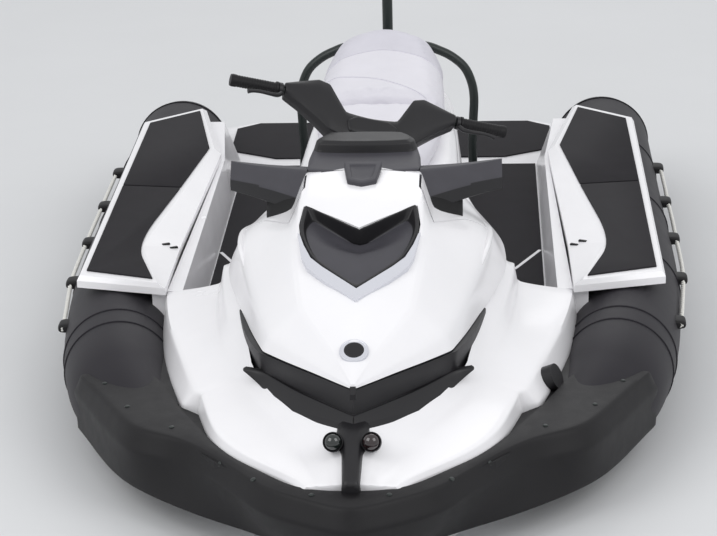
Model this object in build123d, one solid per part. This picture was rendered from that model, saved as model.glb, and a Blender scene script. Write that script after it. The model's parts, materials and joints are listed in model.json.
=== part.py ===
from build123d import *
import math
import os

# Personal watercraft with an inflatable collar, side platforms and a bow fender.
# Millimetres. +X is port, +Y is aft, +Z is up. The origin is on the waterline,
# on the centreline, half way along the craft.

# Driving dimensions of the whole craft
LENGTH = 3540.0             # nose of the bow fender to the end of the stern platform
STERN_Y = LENGTH / 2
BOW_Y = -LENGTH / 2
STERN_REACH = 170.0         # how far the stern platform stands out behind the transom
TRANSOM_Y = STERN_Y - STERN_REACH
DRAFT = 270.0
DECK_Z = 165.0              # joint between hull and deck, and the floor of the footwells
HOOD_GAP = 6.0              # shut line round the front storage lid
SHELL = 22.0                # wall of the lid and of the storage bin

# Collar
TUBE_R = 160.0
TUBE_X = 735.0
HALF_BEAM = 610.0           # hull, side walls and the inner face of the collar
TUBE_Z = 165.0

# Side platforms
PLATFORM_Z = 360.0
PLATFORM_THICK = 34.0
MAT_THICK = 5.0

# Footwells
WELL_INNER_X = 300.0
WALL_FOOT = 107.0           # width of each side wall at its foot
WELL_FRONT_Y = -444.0
WELL_REAR_Y = 1240.0

# Storage lid and upper body
RIM_Z = 424.0
LID_Z = RIM_Z + HOOD_GAP
HINGE_Y = -1433.0
LID_SPLIT_Y = -735.0
LID_TONGUE_X = 150.0
LID_REAR_Y = -645.0

# Steering
STEER_LEAN = 50.0           # the steering axis leans aft from upright
STEER_TURN = 20.0           # the bar stands turned to port
BAR_Y = -176.0              # where the axis meets the line of the grips
BAR_Z = 781.0
BAR_R = 11.0
BAR_DROP = 96.0             # the bar's middle lies below the grips
GRIP_R = 17.0
GRIP_OUT = 402.0
GRIP_IN = 272.0
STEM_R = 20.0
STEM_GAP = 0.5
NECK_R = 44.0

# Jet pump
PUMP_Z = -120.0
PUMP_R = 78.0
PUMP_WALL = 10.0
PUMP_LENGTH = 210.0
PUMP_REAR_Y = TRANSOM_Y - 10
PUMP_FRONT_Y = PUMP_REAR_Y - PUMP_LENGTH
SHAFT_R = 12.0
SHAFT_GAP = 0.5
BLADE_GAP = 5.5
TUNNEL_X = 125.0
TUNNEL_FRONT_Y = PUMP_FRONT_Y - 220
INTAKE_FRONT_Y = TUNNEL_FRONT_Y - 300
INTAKE_HALF = 80.0
TUNNEL_TOP_Z = -20.0
NOZZLE_Y = PUMP_REAR_Y + 40
NOZZLE_LENGTH = 105.0
NOZZLE_TURN = -18.0         # the outlet stands swung to port with the bar
NOZZLE_LEAD = 10.0
BUCKET_Y = PUMP_REAR_Y + 38
BUCKET_R = 132.0
BUCKET_WALL = 5.0
BUCKET_X = 96.0

# Engine block
ENGINE_SIZE = (400.0, 560.0, 330.0)
ENGINE_Y = 520.0
ENGINE_Z = -10.0
ENGINE_GAP = 12.0

OUT = "parts"
os.makedirs(OUT, exist_ok=True)


def save(name, shape):
    """Write one sub-part."""
    export_step(shape, f"{OUT}/{name}.step")


def section_face(y, half):
    """Closed face across the craft at y, from its half outline of (x, z) points."""
    left = [(-x, z) for x, z in reversed(half) if x > 0]
    points = [Vector(x, y, z) for x, z in half + left]
    return Face(Wire.make_polygon(points, close=True))


def along(sections):
    """Ruled solid through half outlines [(y, [(x, z), ...]), ...]."""
    return Solid.make_loft([section_face(y, half).outer_wire() for y, half in sections], ruled=True)


def level_wire(z, points):
    return Wire.make_polygon([Vector(x, y, z) for x, y in points], close=True)


def stack(levels):
    """Ruled solid through plan outlines [(z, [(x, y), ...]), ...]."""
    return Solid.make_loft([level_wire(z, points) for z, points in levels], ruled=True)


def slab(points, z0, z1):
    """Flat-topped solid on a plan outline."""
    return Solid.extrude(Face(level_wire(z0, points)), Vector(0, 0, z1 - z0))


def both_sides(half):
    """Whole plan outline from its port half, nose to stern."""
    return half + [(-x, y) for x, y in reversed(half) if x > 0]


def flip(shape):
    """The same piece on the other side of the craft."""
    return mirror(shape, about=Plane.YZ)


def rod(p, q, r0, r1=None):
    """Round bar or cone from p to q."""
    start, end = Vector(*p), Vector(*q)
    way = end - start
    r1 = r0 if r1 is None else r1
    spot = Plane(origin=start, z_dir=way)
    if abs(r0 - r1) < 1e-6:
        return spot * Cylinder(r0, way.length, align=(Align.CENTER, Align.CENTER, Align.MIN))
    return spot * Cone(r0, r1, way.length, align=(Align.CENTER, Align.CENTER, Align.MIN))


def pipe(points, r, bend):
    """Round bar along straight runs with a bend radius at each corner."""
    path = FilletPolyline(*[Vector(p) for p in points], radius=bend)
    start = Plane(origin=path @ 0, z_dir=path % 0)
    return sweep(start * Circle(r), path=path)


def tilted(y, z, lean):
    """Plane with +X to port and its normal leaning forward by lean degrees."""
    c, s = math.cos(math.radians(lean)), math.sin(math.radians(lean))
    return Plane(origin=(0, y, z), x_dir=(1, 0, 0), z_dir=(0, -s, c))


def on_plane(plane, points, depth):
    """Prism on a tilted plane, depth along its normal."""
    corners = [plane.from_local_coords(Vector(x, y, 0)) for x, y in points]
    return Solid.extrude(Face(Wire.make_polygon(corners, close=True)), plane.z_dir * depth)


# Hull: columns y, keel z, strake x, strake z, chine x, chine z, gunwale x
HULL_TABLE = [
    (-1640, 60, 12, 66, 30, 90, 60),
    (-1450, -125, 60, -95, 175, 10, 270),
    (-1150, -218, 120, -172, 330, -30, 440),
    (-700, -262, 180, -196, HALF_BEAM - 150, -58, HALF_BEAM - 50),
    (0, -DRAFT, 215, -186, HALF_BEAM - 90, -68, HALF_BEAM),
    (TRANSOM_Y, -DRAFT, 215, -186, HALF_BEAM - 90, -80, HALF_BEAM),
]


def make_hull():
    sections = []
    for y, keel, strake_x, strake_z, chine_x, chine_z, gunwale in HULL_TABLE:
        step = -10 if strake_x > 50 else 1
        half = [(0, keel), (strake_x, strake_z), (strake_x + 14, strake_z + step),
                (chine_x, chine_z), (chine_x + 18, chine_z + 6), (gunwale, DECK_Z), (0, DECK_Z)]
        sections.append((y, half))
    hull = along(sections)
    tunnel_y = (TUNNEL_FRONT_Y + TRANSOM_Y + 20) / 2
    tunnel = Pos(0, tunnel_y, (TUNNEL_TOP_Z - DRAFT - 40) / 2) * Box(
        2 * TUNNEL_X, TRANSOM_Y + 20 - TUNNEL_FRONT_Y, TUNNEL_TOP_Z + DRAFT + 40)
    hull = hull - tunnel
    intake_half = [(INTAKE_HALF, INTAKE_FRONT_Y), (INTAKE_HALF, TUNNEL_FRONT_Y)]
    intake = slab(both_sides(intake_half), -DRAFT - 20, -165)
    hull = hull - intake
    hull = hull - rod((0, TUNNEL_FRONT_Y - 120, PUMP_Z), (0, TUNNEL_FRONT_Y + 5, PUMP_Z), SHAFT_R + SHAFT_GAP)
    ex, ey, ez = ENGINE_SIZE
    hull = hull - Pos(0, ENGINE_Y, ENGINE_Z) * Box(ex + 2 * ENGINE_GAP, ey + 2 * ENGINE_GAP, ez)
    return hull


# Bow deck: columns y, edge x, edge z, bevel x, bevel z, valley x, valley z, crown x, crown z, rim x, rim z
DECK_TABLE = [
    (-1619, 118, 246, 104, 258, 80, 259, 42, 262, 12, 264),
    (-1480, 250, 246, 238, 266, 116, 272, 60, 300, 16, 336),
    (-1407, 315, 246, 302, 270, 150, 286, 100, 318, 60, 345),
    (-1325, 362, 246, 349, 275, 190, 296, 160, 330, 100, 360),
    (-1230, 388, 246, 378, 283, 255, 309, 222, 334, 160, 392),
    (-1133, 412, 246, 402, 288, 305, 320, 266, 340, 228, RIM_Z),
    (-1075, 470, 246, 428, 291, 337, 328, 290, 362, 256, RIM_Z),
    (-930, HALF_BEAM - 105, 244, HALF_BEAM - 140, 304, 385, 350, 338, 392, 298, RIM_Z),
    (-660, HALF_BEAM - 47, 238, HALF_BEAM - 65, 318, 405, 350, 392, 397, 358, RIM_Z),
    (WELL_FRONT_Y, HALF_BEAM - 30, 238, HALF_BEAM - 40, 324, 415, 346, 405, 402, 376, RIM_Z),
]
BIN_HALF = [(0, -1190), (150, -1120), (215, -900), (215, -770), (0, -770)]
BIN_FLOOR_Z = 215.0


def make_bow_deck():
    sections = []
    for y, ex, ez, bx, bz, vx, vz, cx, cz, rx, rz in DECK_TABLE:
        half = [(0, DECK_Z), (ex, DECK_Z), (ex, ez), (bx, bz), (vx, vz), (cx, cz), (rx, rz), (0, rz + 2)]
        sections.append((y, half))
    deck = along(sections)
    deck = deck - slab(both_sides(BIN_HALF[:-1]), BIN_FLOOR_Z, RIM_Z + 20)
    deck = deck - Pos(0, -950, RIM_Z + 5) * Box(900, 1500, 10)
    return deck


RAIL_HALF = [(0, -1652), (138, -1645), (345, -1430), (400, -1348), (462, -1248), (526, -1100),
             (HALF_BEAM - 43, -1024), (HALF_BEAM - 10, -700), (HALF_BEAM, WELL_FRONT_Y)]
RAIL_Z = 240.0


def make_rub_rail():
    rail = slab(both_sides(RAIL_HALF), DECK_Z, RAIL_Z)
    inside = [(0, DECK_TABLE[0][0])] + [(row[1], row[0]) for row in DECK_TABLE]
    return rail - slab(both_sides(inside), DECK_Z - 1, RAIL_Z + 1)


# Bow fender: the same corners at the foot, at the crease and at the top
FENDER_LEVELS = [
    (85, [(0, -1690), (130, -1600), (272, -1490), (379, -1420), (493, -1322), (581, -1236), (652, -1130),
          (725, -958), (790, -818)]),
    (195, [(0, BOW_Y), (209, -1640), (332, -1455), (400, -1362), (465, -1312), (575, -1272), (640, -1150),
           (724, -966), (786, -838)]),
    (250, [(0, -1740), (200, -1612), (322, -1438), (392, -1350), (458, -1290), (565, -1240), (625, -1125),
           (705, -960), (762, -850)]),
]
FENDER_REAR = [(750, -812), (560, -900)]


def make_fender(tubes):
    levels = [(z, both_sides(points + FENDER_REAR)) for z, points in FENDER_LEVELS]
    fender = stack(levels)
    inner = [(x, y) for x, y in RAIL_HALF]
    fender = fender - slab(both_sides(inner), DECK_Z, 400) - hull
    for tube in tubes:
        fender = fender - tube
    return fender


# Collar: centreline from the bow to the stern, x, y, z, radius, and the dome at each end
TUBE_PATH = [
    (470, -1150, 146, 60),
    (560, -1010, 150, 92),
    (638, -850, 156, 130),
    (676, -700, TUBE_Z, 145),
    (712, -400, TUBE_Z, 156),
    (TUBE_X, 20, TUBE_Z, TUBE_R),
    (TUBE_X, 1490, TUBE_Z, TUBE_R),
]
TUBE_DOME = 150.0
DOME_STEPS = 4


def tube_wires():
    """Circles square to the mitred centreline, with a domed stern end."""
    rings = []
    path = [(Vector(x, y, z), r) for x, y, z, r in TUBE_PATH]
    for i, (spot, r) in enumerate(path):
        before = path[max(i - 1, 0)][0]
        after = path[min(i + 1, len(path) - 1)][0]
        rings.append((spot, (after - before).normalized(), r))
    end, _, r = rings[-1]
    rings[-1] = (end, Vector(0, 1, 0), r)
    for step in range(1, DOME_STEPS + 1):
        turn = math.radians(78.0 * step / DOME_STEPS)
        spot = end + Vector(0, TUBE_DOME * math.sin(turn), 0)
        rings.append((spot, Vector(0, 1, 0), r * math.cos(turn)))
    return [Wire.make_circle(r, Plane(origin=spot, x_dir=(0, 0, 1), z_dir=way)) for spot, way, r in rings]


def make_tube():
    tube = Solid.make_loft(tube_wires(), ruled=True)
    inner = RAIL_HALF + [(HALF_BEAM, STERN_Y + 50), (0, STERN_Y + 50)]
    return tube - slab(inner, -300, 600)


# Side platform: plan corners of the underside and of the top
PLATFORM_FOOT = [(568, -478), (826, -408), (826, 1134), (627, 1308), (530, 800), (563, -120)]
PLATFORM_TOP = [(592, -468), (818, -400), (818, 1128), (640, 1288), (553, 815), (670, -152)]
MAT_OUTLINE = [(607, -440), (803, -368), (798, 1108), (643, 1248), (569, 813), (688, -153)]


def make_platform():
    foot_z = PLATFORM_Z - PLATFORM_THICK
    return stack([(foot_z, PLATFORM_FOOT), (PLATFORM_Z - 14, PLATFORM_FOOT), (PLATFORM_Z, PLATFORM_TOP)])


def make_platform_mat():
    return slab(MAT_OUTLINE, PLATFORM_Z, PLATFORM_Z + MAT_THICK)


WALL_TABLE = [  # y, inner foot x, inner top x
    (WELL_FRONT_Y, HALF_BEAM - WALL_FOOT, HALF_BEAM - 86),
    (800, HALF_BEAM - WALL_FOOT, HALF_BEAM - 91),
    (WELL_REAR_Y, HALF_BEAM - WALL_FOOT, HALF_BEAM - 50),
]


def make_side_wall():
    wires = []
    top_z = PLATFORM_Z - PLATFORM_THICK
    for y, foot, top in WALL_TABLE:
        corners = [(foot, DECK_Z), (top, top_z), (HALF_BEAM, top_z), (HALF_BEAM, DECK_Z)]
        wires.append(Wire.make_polygon([Vector(x, y, z) for x, z in corners], close=True))
    return Solid.make_loft(wires, ruled=True)


# Centre body under the seat: columns y, floor x, mid x, top x
BODY_TABLE = [
    (WELL_FRONT_Y, 402, 404, 376),
    (-100, 340, 335, 318),
    (250, WELL_INNER_X, 285, 250),
    (800, 262, 250, 232),
    (1200, 245, 232, 215),
    (1290, 228, 212, 190),
]
BODY_MID_Z = 330.0


def make_pedestal():
    sections = []
    for y, floor_x, mid_x, top_x in BODY_TABLE:
        half = [(0, DECK_Z), (floor_x, DECK_Z), (mid_x, BODY_MID_Z), (top_x, RIM_Z), (0, RIM_Z)]
        sections.append((y, half))
    return along(sections)


# Upper body and storage lid in one form: columns y, rim x, shoulder x, shoulder z,
# foot of the raised middle x and z, crest x, crest z, ridge z
UPPER_TABLE = [
    (-1422, 8, 7, 434, 6, 435, 4, 436, 437),
    (-1320, 100, 92, 446, 62, 474, 52, 480, 495),
    (-1176, 235, 216, 468, 146, 534, 130, 545, 574),
    (-1050, 274, 254, 490, 168, 598, 150, 607, 628),
    (-930, 302, 284, 510, 182, 636, 161, 658, 672),
    (-840, 326, 302, 532, 188, 652, 160, 692, 702),
    (-690, 360, 330, 555, 187, 658, 156, 730, 740),
    (-560, 381, 338, 540, 186, 648, 150, 722, 736),
    (-430, 379, 322, 512, 178, 604, 145, 672, 690),
    (-300, 372, 284, 520, 166, 572, 140, 600, 620),
    (-110, 318, 250, 500, 152, 532, 130, 545, 560),
]


def upper_form(inset, foot_z=LID_Z):
    """Solid of the whole form, drawn in by a wall's thickness."""
    sections = []
    for y, rx, sx, sz, px, pz, cx, cz, tz in UPPER_TABLE:
        sections.append((y, [
            (0, foot_z - inset), (max(rx - inset, 2), foot_z - inset),
            (max(sx - inset, 1.6), max(sz - inset * 0.8, LID_Z + 0.5)),
            (max(px - inset * 0.8, 1.3), max(pz - inset * 0.8, LID_Z + 0.8)),
            (max(cx - inset * 0.6, 1), max(cz - inset, LID_Z + 1)), (0, max(tz - inset, LID_Z + 1.5))]))
    return along(sections)


# Rear edge of the storage lid: round the tongue between the mirrors, then outward ahead of their roots
LID_REAR = [(LID_TONGUE_X, LID_REAR_Y), (LID_TONGUE_X, LID_SPLIT_Y), (190, -826), (272, -640), (345, -545),
            (600, -545)]


def lid_area(extra):
    """Plan of the storage lid."""
    half = [(0, -1800), (600, -1800)] + [(x, y + 1.6 * extra) for x, y in reversed(LID_REAR[2:])]
    half += [(x + extra, y + extra) for x, y in reversed(LID_REAR[:2])] + [(0, LID_REAR_Y + extra)]
    return slab(both_sides(half), 0, 1200)


VENT_PLANE = tilted(-991, 646, 20)
VENT = [(0, 64), (148, 172), (157, 92), (152, 45), (139, 0), (119, -51), (88, -86), (0, -172)]
VENT_DEPTH = 26.0


def make_lid():
    lid = (upper_form(0) & lid_area(0)) - upper_form(SHELL)
    outline = both_sides(VENT)
    recess = on_plane(VENT_PLANE, outline, -VENT_DEPTH) + on_plane(VENT_PLANE, outline, 80)
    return lid - recess


HINGE_Z = 413.0
HINGE_PIN_R = 3.5
HINGE_ARM_HALF = 7.0
HINGE_ARM = [(-1441, 406), (-1441, 420), (-1420, 434), (-1396, 434), (-1402, 426), (-1426, 406)]


def make_lid_arm():
    """Hinge arm that dips from the nose of the lid to the pin in the grille."""
    points = [Vector(-HINGE_ARM_HALF, y, z) for y, z in HINGE_ARM]
    arm = Solid.extrude(Face(Wire.make_polygon(points, close=True)), Vector(2 * HINGE_ARM_HALF, 0, 0))
    return arm - rod((-30, HINGE_Y, HINGE_Z), (30, HINGE_Y, HINGE_Z), HINGE_PIN_R + 0.3)


def hinge_slot():
    return Pos(0, HINGE_Y + 6, HINGE_Z + 4) * Box(2 * HINGE_ARM_HALF + 10, 76, 34)


def hinge_pin():
    return rod((-20, HINGE_Y, HINGE_Z), (20, HINGE_Y, HINGE_Z), HINGE_PIN_R)


def below(plane, depth):
    """The same plane, a depth further in."""
    return Plane(origin=plane.origin - plane.z_dir * depth, x_dir=plane.x_dir, z_dir=plane.z_dir)


def make_vent():
    return on_plane(below(VENT_PLANE, VENT_DEPTH), both_sides(VENT), 14)


# Silver V under the vent: its outer edge, then back along the vent's own edge
VENT_TRIM = [(155, 44), (140, -51), (124, -90), (78, -144), (0, -216)]


# Room under the front corners of the upper body, which keeps the bin's mouth clear
THROAT = [(145, -900), (300, -900), (277, -632), (145, -732)]
THROAT_Z = 556.0


def make_upper_body():
    throat = slab(THROAT, RIM_Z - 10, THROAT_Z)
    return upper_form(0, RIM_Z) - lid_area(HOOD_GAP) - throat - flip(throat)


TRIM_THICK = 6.0


def make_vent_trim():
    inner = [(x, v) for x, v in both_sides(VENT) if v < 45][::-1]
    outer = VENT_TRIM + [(-x, v) for x, v in reversed(VENT_TRIM[:-1])]
    return on_plane(below(VENT_PLANE, 12), outer + inner, 12 + TRIM_THICK)


BADGE_R = 37.0
BADGE_Y = -1331.0
BADGE_Z = 487.0


def make_badge():
    """Plain disc on the bow end of the lid."""
    face = below(tilted(BADGE_Y, BADGE_Z, 28), 14)
    return face * Cylinder(BADGE_R, 20, align=(Align.CENTER, Align.CENTER, Align.MIN))


LATCH = [(-50, 52), (50, 52), (50, 36), (40, -48), (0, -66), (-40, -48), (-50, 36)]


def make_latch():
    return on_plane(tilted(-690, 741, 12), LATCH, 16)


# Black band under the lid: foot and head outlines from the nose aft
GRILLE_FOOT_Z = 342.0
GRILLE_FOOT = [(0, -1498), (110, -1384), (232, -1226), (272, -1110), (318, -930), (292, -930), (200, -1200),
               (0, -1400)]
GRILLE_HEAD = [(0, -1450), (104, -1330), (238, -1176), (266, -1080), (306, -930), (290, -930), (196, -1160),
               (0, -1370)]
LIP_FOOT = [(0, -1512), (120, -1396), (222, -1262), (252, -1195), (296, -1146), (250, -1150), (150, -1250),
            (0, -1400)]
LIP_FOOT_Z = 322.0
LIP_HEAD_Z = 356.0


def make_grille():
    return stack([(GRILLE_FOOT_Z, both_sides(GRILLE_FOOT)), (RIM_Z, both_sides(GRILLE_HEAD))])


def make_grille_lip(grille):
    lip = slab(both_sides(LIP_FOOT), LIP_FOOT_Z, LIP_HEAD_Z)
    return lip - grille


POST_PROFILE = [(-1440, 376), (-1500, 380), (-1556, 330), (-1646, 272), (-1646, 240), (-1600, 240),
                (-1440, 300)]
POST_HALF = 22.0


def make_post():
    """Black post down the nose between the navigation lights."""
    points = [Vector(-POST_HALF, y, z) for y, z in POST_PROFILE]
    return Solid.extrude(Face(Wire.make_polygon(points, close=True)), Vector(2 * POST_HALF, 0, 0))


LIGHT_R = 23.0
LIGHT_X = 44.0


def make_bow_light():
    return rod((LIGHT_X, -1500, 296), (LIGHT_X, -1566, 322), LIGHT_R)


# Mirrors and the wedge that carries each: fore-and-aft outline of the inner and of the outer end, y and z
MIRROR_INNER_X = 150.0
MIRROR_OUTER_X = 372.0
MIRROR_INNER = [(-715, 700), (-728, 642), (-663, 622), (-570, 640), (-549, 708), (-630, 724)]
MIRROR_OUTER = [(-500, 698), (-505, 664), (-480, 652), (-432, 658), (-424, 700), (-457, 712)]
ROOT_OUTER_X = 272.0
ROOT_INNER = [(-806, 600), (-806, 667), (-715, 690), (-565, 690), (-565, 600)]
ROOT_OUTER = [(-624, 540), (-624, 606), (-600, 655), (-565, 655), (-565, 540)]


def end_wire(x, outline):
    return Wire.make_polygon([Vector(x, y, z) for y, z in outline], close=True)


def make_mirror():
    ends = [end_wire(MIRROR_INNER_X, MIRROR_INNER), end_wire(MIRROR_OUTER_X, MIRROR_OUTER)]
    root_ends = [end_wire(MIRROR_INNER_X, ROOT_INNER), end_wire(ROOT_OUTER_X, ROOT_OUTER)]
    shell = Solid.make_loft(ends, ruled=True) + Solid.make_loft(root_ends, ruled=True)
    return shell - upper_form(0, RIM_Z)


CONSOLE_FOOT = [(-138, -632), (138, -632), (150, -520), (120, -400), (-120, -400), (-150, -520)]
CONSOLE_HEAD = [(-112, -622), (112, -622), (122, -520), (96, -430), (-96, -430), (-122, -520)]


def make_console():
    return stack([(640, CONSOLE_FOOT), (738, CONSOLE_FOOT), (776, CONSOLE_HEAD)])


# Steering: x across, up along the axis and forward square to both, all in the turned bar
def steer(x, up, forward):
    lean, turn = math.radians(STEER_LEAN), math.radians(STEER_TURN)
    axis = Vector(0, math.sin(lean), math.cos(lean))
    aft = Vector(0, math.cos(lean), -math.sin(lean))
    across = Vector(1, 0, 0) * math.cos(turn) + aft * math.sin(turn)
    ahead = Vector(1, 0, 0) * math.sin(turn) - aft * math.cos(turn)
    return Vector(0, BAR_Y, BAR_Z) + across * x + axis * up + ahead * forward


def steer_rod(p, q, r0, r1=None):
    a, b = steer(*p), steer(*q)
    return rod((a.X, a.Y, a.Z), (b.X, b.Y, b.Z), r0, r1)


def steer_prism(outline, back, front):
    base = [steer(x, up, back) for x, up in outline]
    way = steer(0, 0, front) - steer(0, 0, back)
    return Solid.extrude(Face(Wire.make_polygon(base, close=True)), way)


BAR_BEND_X = 84.0
STEM_END = -262.0
NECK_TOP = -206.0


def make_handlebar():
    stations = [(-GRIP_OUT, 0), (-GRIP_IN + 20, 0), (-BAR_BEND_X, -BAR_DROP), (BAR_BEND_X, -BAR_DROP),
                (GRIP_IN - 20, 0), (GRIP_OUT, 0)]
    bar = pipe([steer(x, up, 0) for x, up in stations], BAR_R, 30)
    stem = steer_rod((0, -BAR_DROP, 0), (0, STEM_END, 0), STEM_R)
    return bar + stem


COVER = [(252, 20), (125, 46), (95, 36), (50, -56), (-50, -56), (-95, 36), (-125, 46), (-252, 20),
         (-256, -20), (-190, -60), (-92, -134), (92, -134), (190, -60), (256, -20)]
COVER_BACK = -24.0
COVER_FRONT = 30.0


def make_cover(bar):
    return steer_prism(COVER, COVER_BACK, COVER_FRONT) - bar


def make_grip(side):
    grip = steer_rod((side * (GRIP_IN), 0, 0), (side * (GRIP_OUT + 6), 0, 0), GRIP_R)
    flange = steer_rod((side * GRIP_IN, 0, 0), (side * (GRIP_IN + 8), 0, 0), GRIP_R + 3)
    core = steer_rod((side * (GRIP_IN - 30), 0, 0), (side * GRIP_OUT, 0, 0), BAR_R)
    return grip + flange - core


def make_lever(side):
    clamp = steer_rod((side * 259, 0, 0), (side * 271, 0, 0), 19)
    arm = steer_prism([(side * 262, -10), (side * 270, -10), (side * 284, -30), (side * 362, -34), (side * 362, -44),
                       (side * 272, -42)], 16, 26)
    bridge = steer_prism([(side * 260, 8), (side * 270, 8), (side * 272, -42), (side * 262, -42)], 10, 26)
    core = steer_rod((side * 250, 0, 0), (side * GRIP_OUT, 0, 0), BAR_R)
    return clamp + arm + bridge - core


def make_neck():
    """Boss on the upper body that carries the steering stem."""
    boss = steer_rod((0, STEM_END - 50, 0), (0, NECK_TOP, 0), NECK_R + 10, NECK_R - 8)
    return boss


def stem_bore():
    return steer_rod((0, STEM_END - 1, 0), (0, NECK_TOP + 80, 0), STEM_R + STEM_GAP)


# Seat: columns y, half width, foot z, side z, shoulder z, top z
SEAT_SPLIT_Y = 562.0
SEAT_GAP = 4.0
RIDER_TABLE = [
    (-66, 96, 470, 520, 545, 556),
    (120, 150, 470, 512, 538, 550),
    (400, 196, 470, 520, 552, 566),
    (SEAT_SPLIT_Y - SEAT_GAP, 204, 470, 535, 578, 594),
]
PASSENGER_TABLE = [
    (SEAT_SPLIT_Y, 206, 470, 545, 594, 612),
    (760, 208, 470, 555, 612, 628),
    (960, 196, 470, 570, 640, 658),
    (1080, 170, 470, 560, 655, 684),
    (1150, 120, 470, 530, 600, 640),
]


def make_seat(table):
    sections = []
    for y, half, foot_z, side_z, shoulder_z, top_z in table:
        sections.append((y, [(0, foot_z), (half - 12, foot_z), (half, side_z), (half * 0.8, shoulder_z),
                             (half * 0.42, top_z - 3), (0, top_z)]))
    return along(sections)


SEAT_FOOT = [(-104, 120, 104), (-20, 190, 160), (250, 246, 212), (800, 230, 212), (1190, 204, 160),
             (1240, 150, 120)]


def make_seat_base():
    """White fairing between the centre body and the cushions."""
    sections = []
    for y, foot_x, top_x in SEAT_FOOT:
        sections.append((y, [(0, RIM_Z), (foot_x, RIM_Z), (top_x, 470), (0, 470)]))
    return along(sections) - upper


# Grab hoop, mast and light behind the seat
HOOP_R = 15.0
HOOP_Y = 1180.0
HOOP_FOOT_R = 28.0
HOOP_HALF = [(287, DECK_Z), (284, 260), (296, 425), (262, 532), (157, 594)]


def make_hoop():
    path = HOOP_HALF + [(-x, z) for x, z in reversed(HOOP_HALF)]
    hoop = pipe([(x, HOOP_Y, z) for x, z in path], HOOP_R, 60)
    foot_x = HOOP_HALF[0][0]
    for side in (-1, 1):
        hoop = hoop + rod((side * foot_x, HOOP_Y, DECK_Z), (side * foot_x, HOOP_Y, DECK_Z + 8), HOOP_FOOT_R)
    return hoop


MAST_R = 17.5
MAST_Y = 1345.0
MAST_TOP = 1230.0
MAST_LIGHT_R = 26.0


def make_mast():
    foot = rod((0, MAST_Y, DECK_Z), (0, MAST_Y, DECK_Z + 12), 45)
    return foot + rod((0, MAST_Y, DECK_Z), (0, MAST_Y, MAST_TOP), MAST_R)


def make_mast_light():
    return rod((0, MAST_Y, MAST_TOP), (0, MAST_Y, MAST_TOP + 62), MAST_LIGHT_R)


# Stern platform
STERN_PLATFORM = [(HALF_BEAM - 10, TRANSOM_Y), (HALF_BEAM - 10, STERN_Y - 70), (500, STERN_Y), (0, STERN_Y)]
STERN_PLATFORM_FOOT_Z = 105.0


def make_stern_platform():
    half = STERN_PLATFORM
    points = half[:-1] + [(-x, y) for x, y in reversed(half[:-1])]
    return slab(points, STERN_PLATFORM_FOOT_Z, DECK_Z)


STERN_MAT_HALF = [(395, 1322), (560, 1420), (560, STERN_Y - 84), (482, STERN_Y - 18)]


def make_stern_mat():
    points = STERN_MAT_HALF + [(-x, y) for x, y in reversed(STERN_MAT_HALF)]
    mat = slab(points, DECK_Z, DECK_Z + MAT_THICK)
    return mat - rod((0, MAST_Y, DECK_Z), (0, MAST_Y, DECK_Z + 40), 48)


WELL_MAT_EDGE = HALF_BEAM - WALL_FOOT - 4
WELL_MAT = [(412, -438), (WELL_MAT_EDGE, -438), (WELL_MAT_EDGE, 1232), (246, 1232), (250, 1200), (268, 800),
            (308, 250), (348, -100)]


def make_well_mat():
    foot_x = HOOP_HALF[0][0]
    hole = rod((foot_x, HOOP_Y, DECK_Z), (foot_x, HOOP_Y, DECK_Z + 40), HOOP_FOOT_R + 3)
    return slab(WELL_MAT, DECK_Z, DECK_Z + MAT_THICK) - hole


# Glove box lid on the slope ahead of the seat
GLOVE_HINGE_Y = -125.0
GLOVE_HINGE_Z = 578.0
GLOVE_LENGTH = 118.0
GLOVE_HALF = 78.0
GLOVE_SLOPE = 17.5
GLOVE_THICK = 10.0
GLOVE_PIN_R = 3.0
GLOVE_SEAT_GAP = 0.3
GLOVE_TURN_R = 12.0         # room behind the hinge for the edge of the lid


def glove_plane(lift):
    """Plane of the lid, lifted square to itself from its hinge pin."""
    c, n = math.cos(math.radians(GLOVE_SLOPE)), math.sin(math.radians(GLOVE_SLOPE))
    spot = (0, GLOVE_HINGE_Y + n * lift, GLOVE_HINGE_Z + c * lift)
    return Plane(origin=spot, x_dir=(1, 0, 0), z_dir=(0, n, c))


GLOVE_OUTLINE = [(-GLOVE_HALF, 4), (GLOVE_HALF, 4), (GLOVE_HALF - 8, -GLOVE_LENGTH),
                 (-GLOVE_HALF + 8, -GLOVE_LENGTH)]


def glove_pins(r):
    row = None
    for side in (-1, 1):
        pin = rod((side * (GLOVE_HALF - 14), GLOVE_HINGE_Y, GLOVE_HINGE_Z),
                  (side * (GLOVE_HALF + 8), GLOVE_HINGE_Y, GLOVE_HINGE_Z), r)
        row = pin if row is None else row + pin
    return row


def make_glove_lid():
    lid = on_plane(glove_plane(-GLOVE_THICK / 2), GLOVE_OUTLINE, GLOVE_THICK)
    return lid - glove_pins(GLOVE_PIN_R + 0.3)


def make_glove_frame():
    """Raised seat round the pocket, with an ear for each hinge pin."""
    frame = on_plane(glove_plane(-GLOVE_THICK / 2 - GLOVE_SEAT_GAP), GLOVE_OUTLINE, -40)
    for side in (-1, 1):
        frame = frame + Pos(side * (GLOVE_HALF + 5), GLOVE_HINGE_Y, GLOVE_HINGE_Z - 16) * Box(6, 14, 44)
    return frame


def glove_groove():
    """Room for the rear edge of the lid to turn in."""
    reach = GLOVE_HALF + 1.5
    return rod((-reach, GLOVE_HINGE_Y, GLOVE_HINGE_Z), (reach, GLOVE_HINGE_Y, GLOVE_HINGE_Z), GLOVE_TURN_R)


def glove_pocket():
    inset = 10
    outline = [(-GLOVE_HALF + inset, -inset), (GLOVE_HALF - inset, -inset),
               (GLOVE_HALF - inset - 8, -GLOVE_LENGTH + inset), (-GLOVE_HALF + inset + 8, -GLOVE_LENGTH + inset)]
    plane = glove_plane(0)
    return on_plane(plane, outline, -100)


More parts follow.
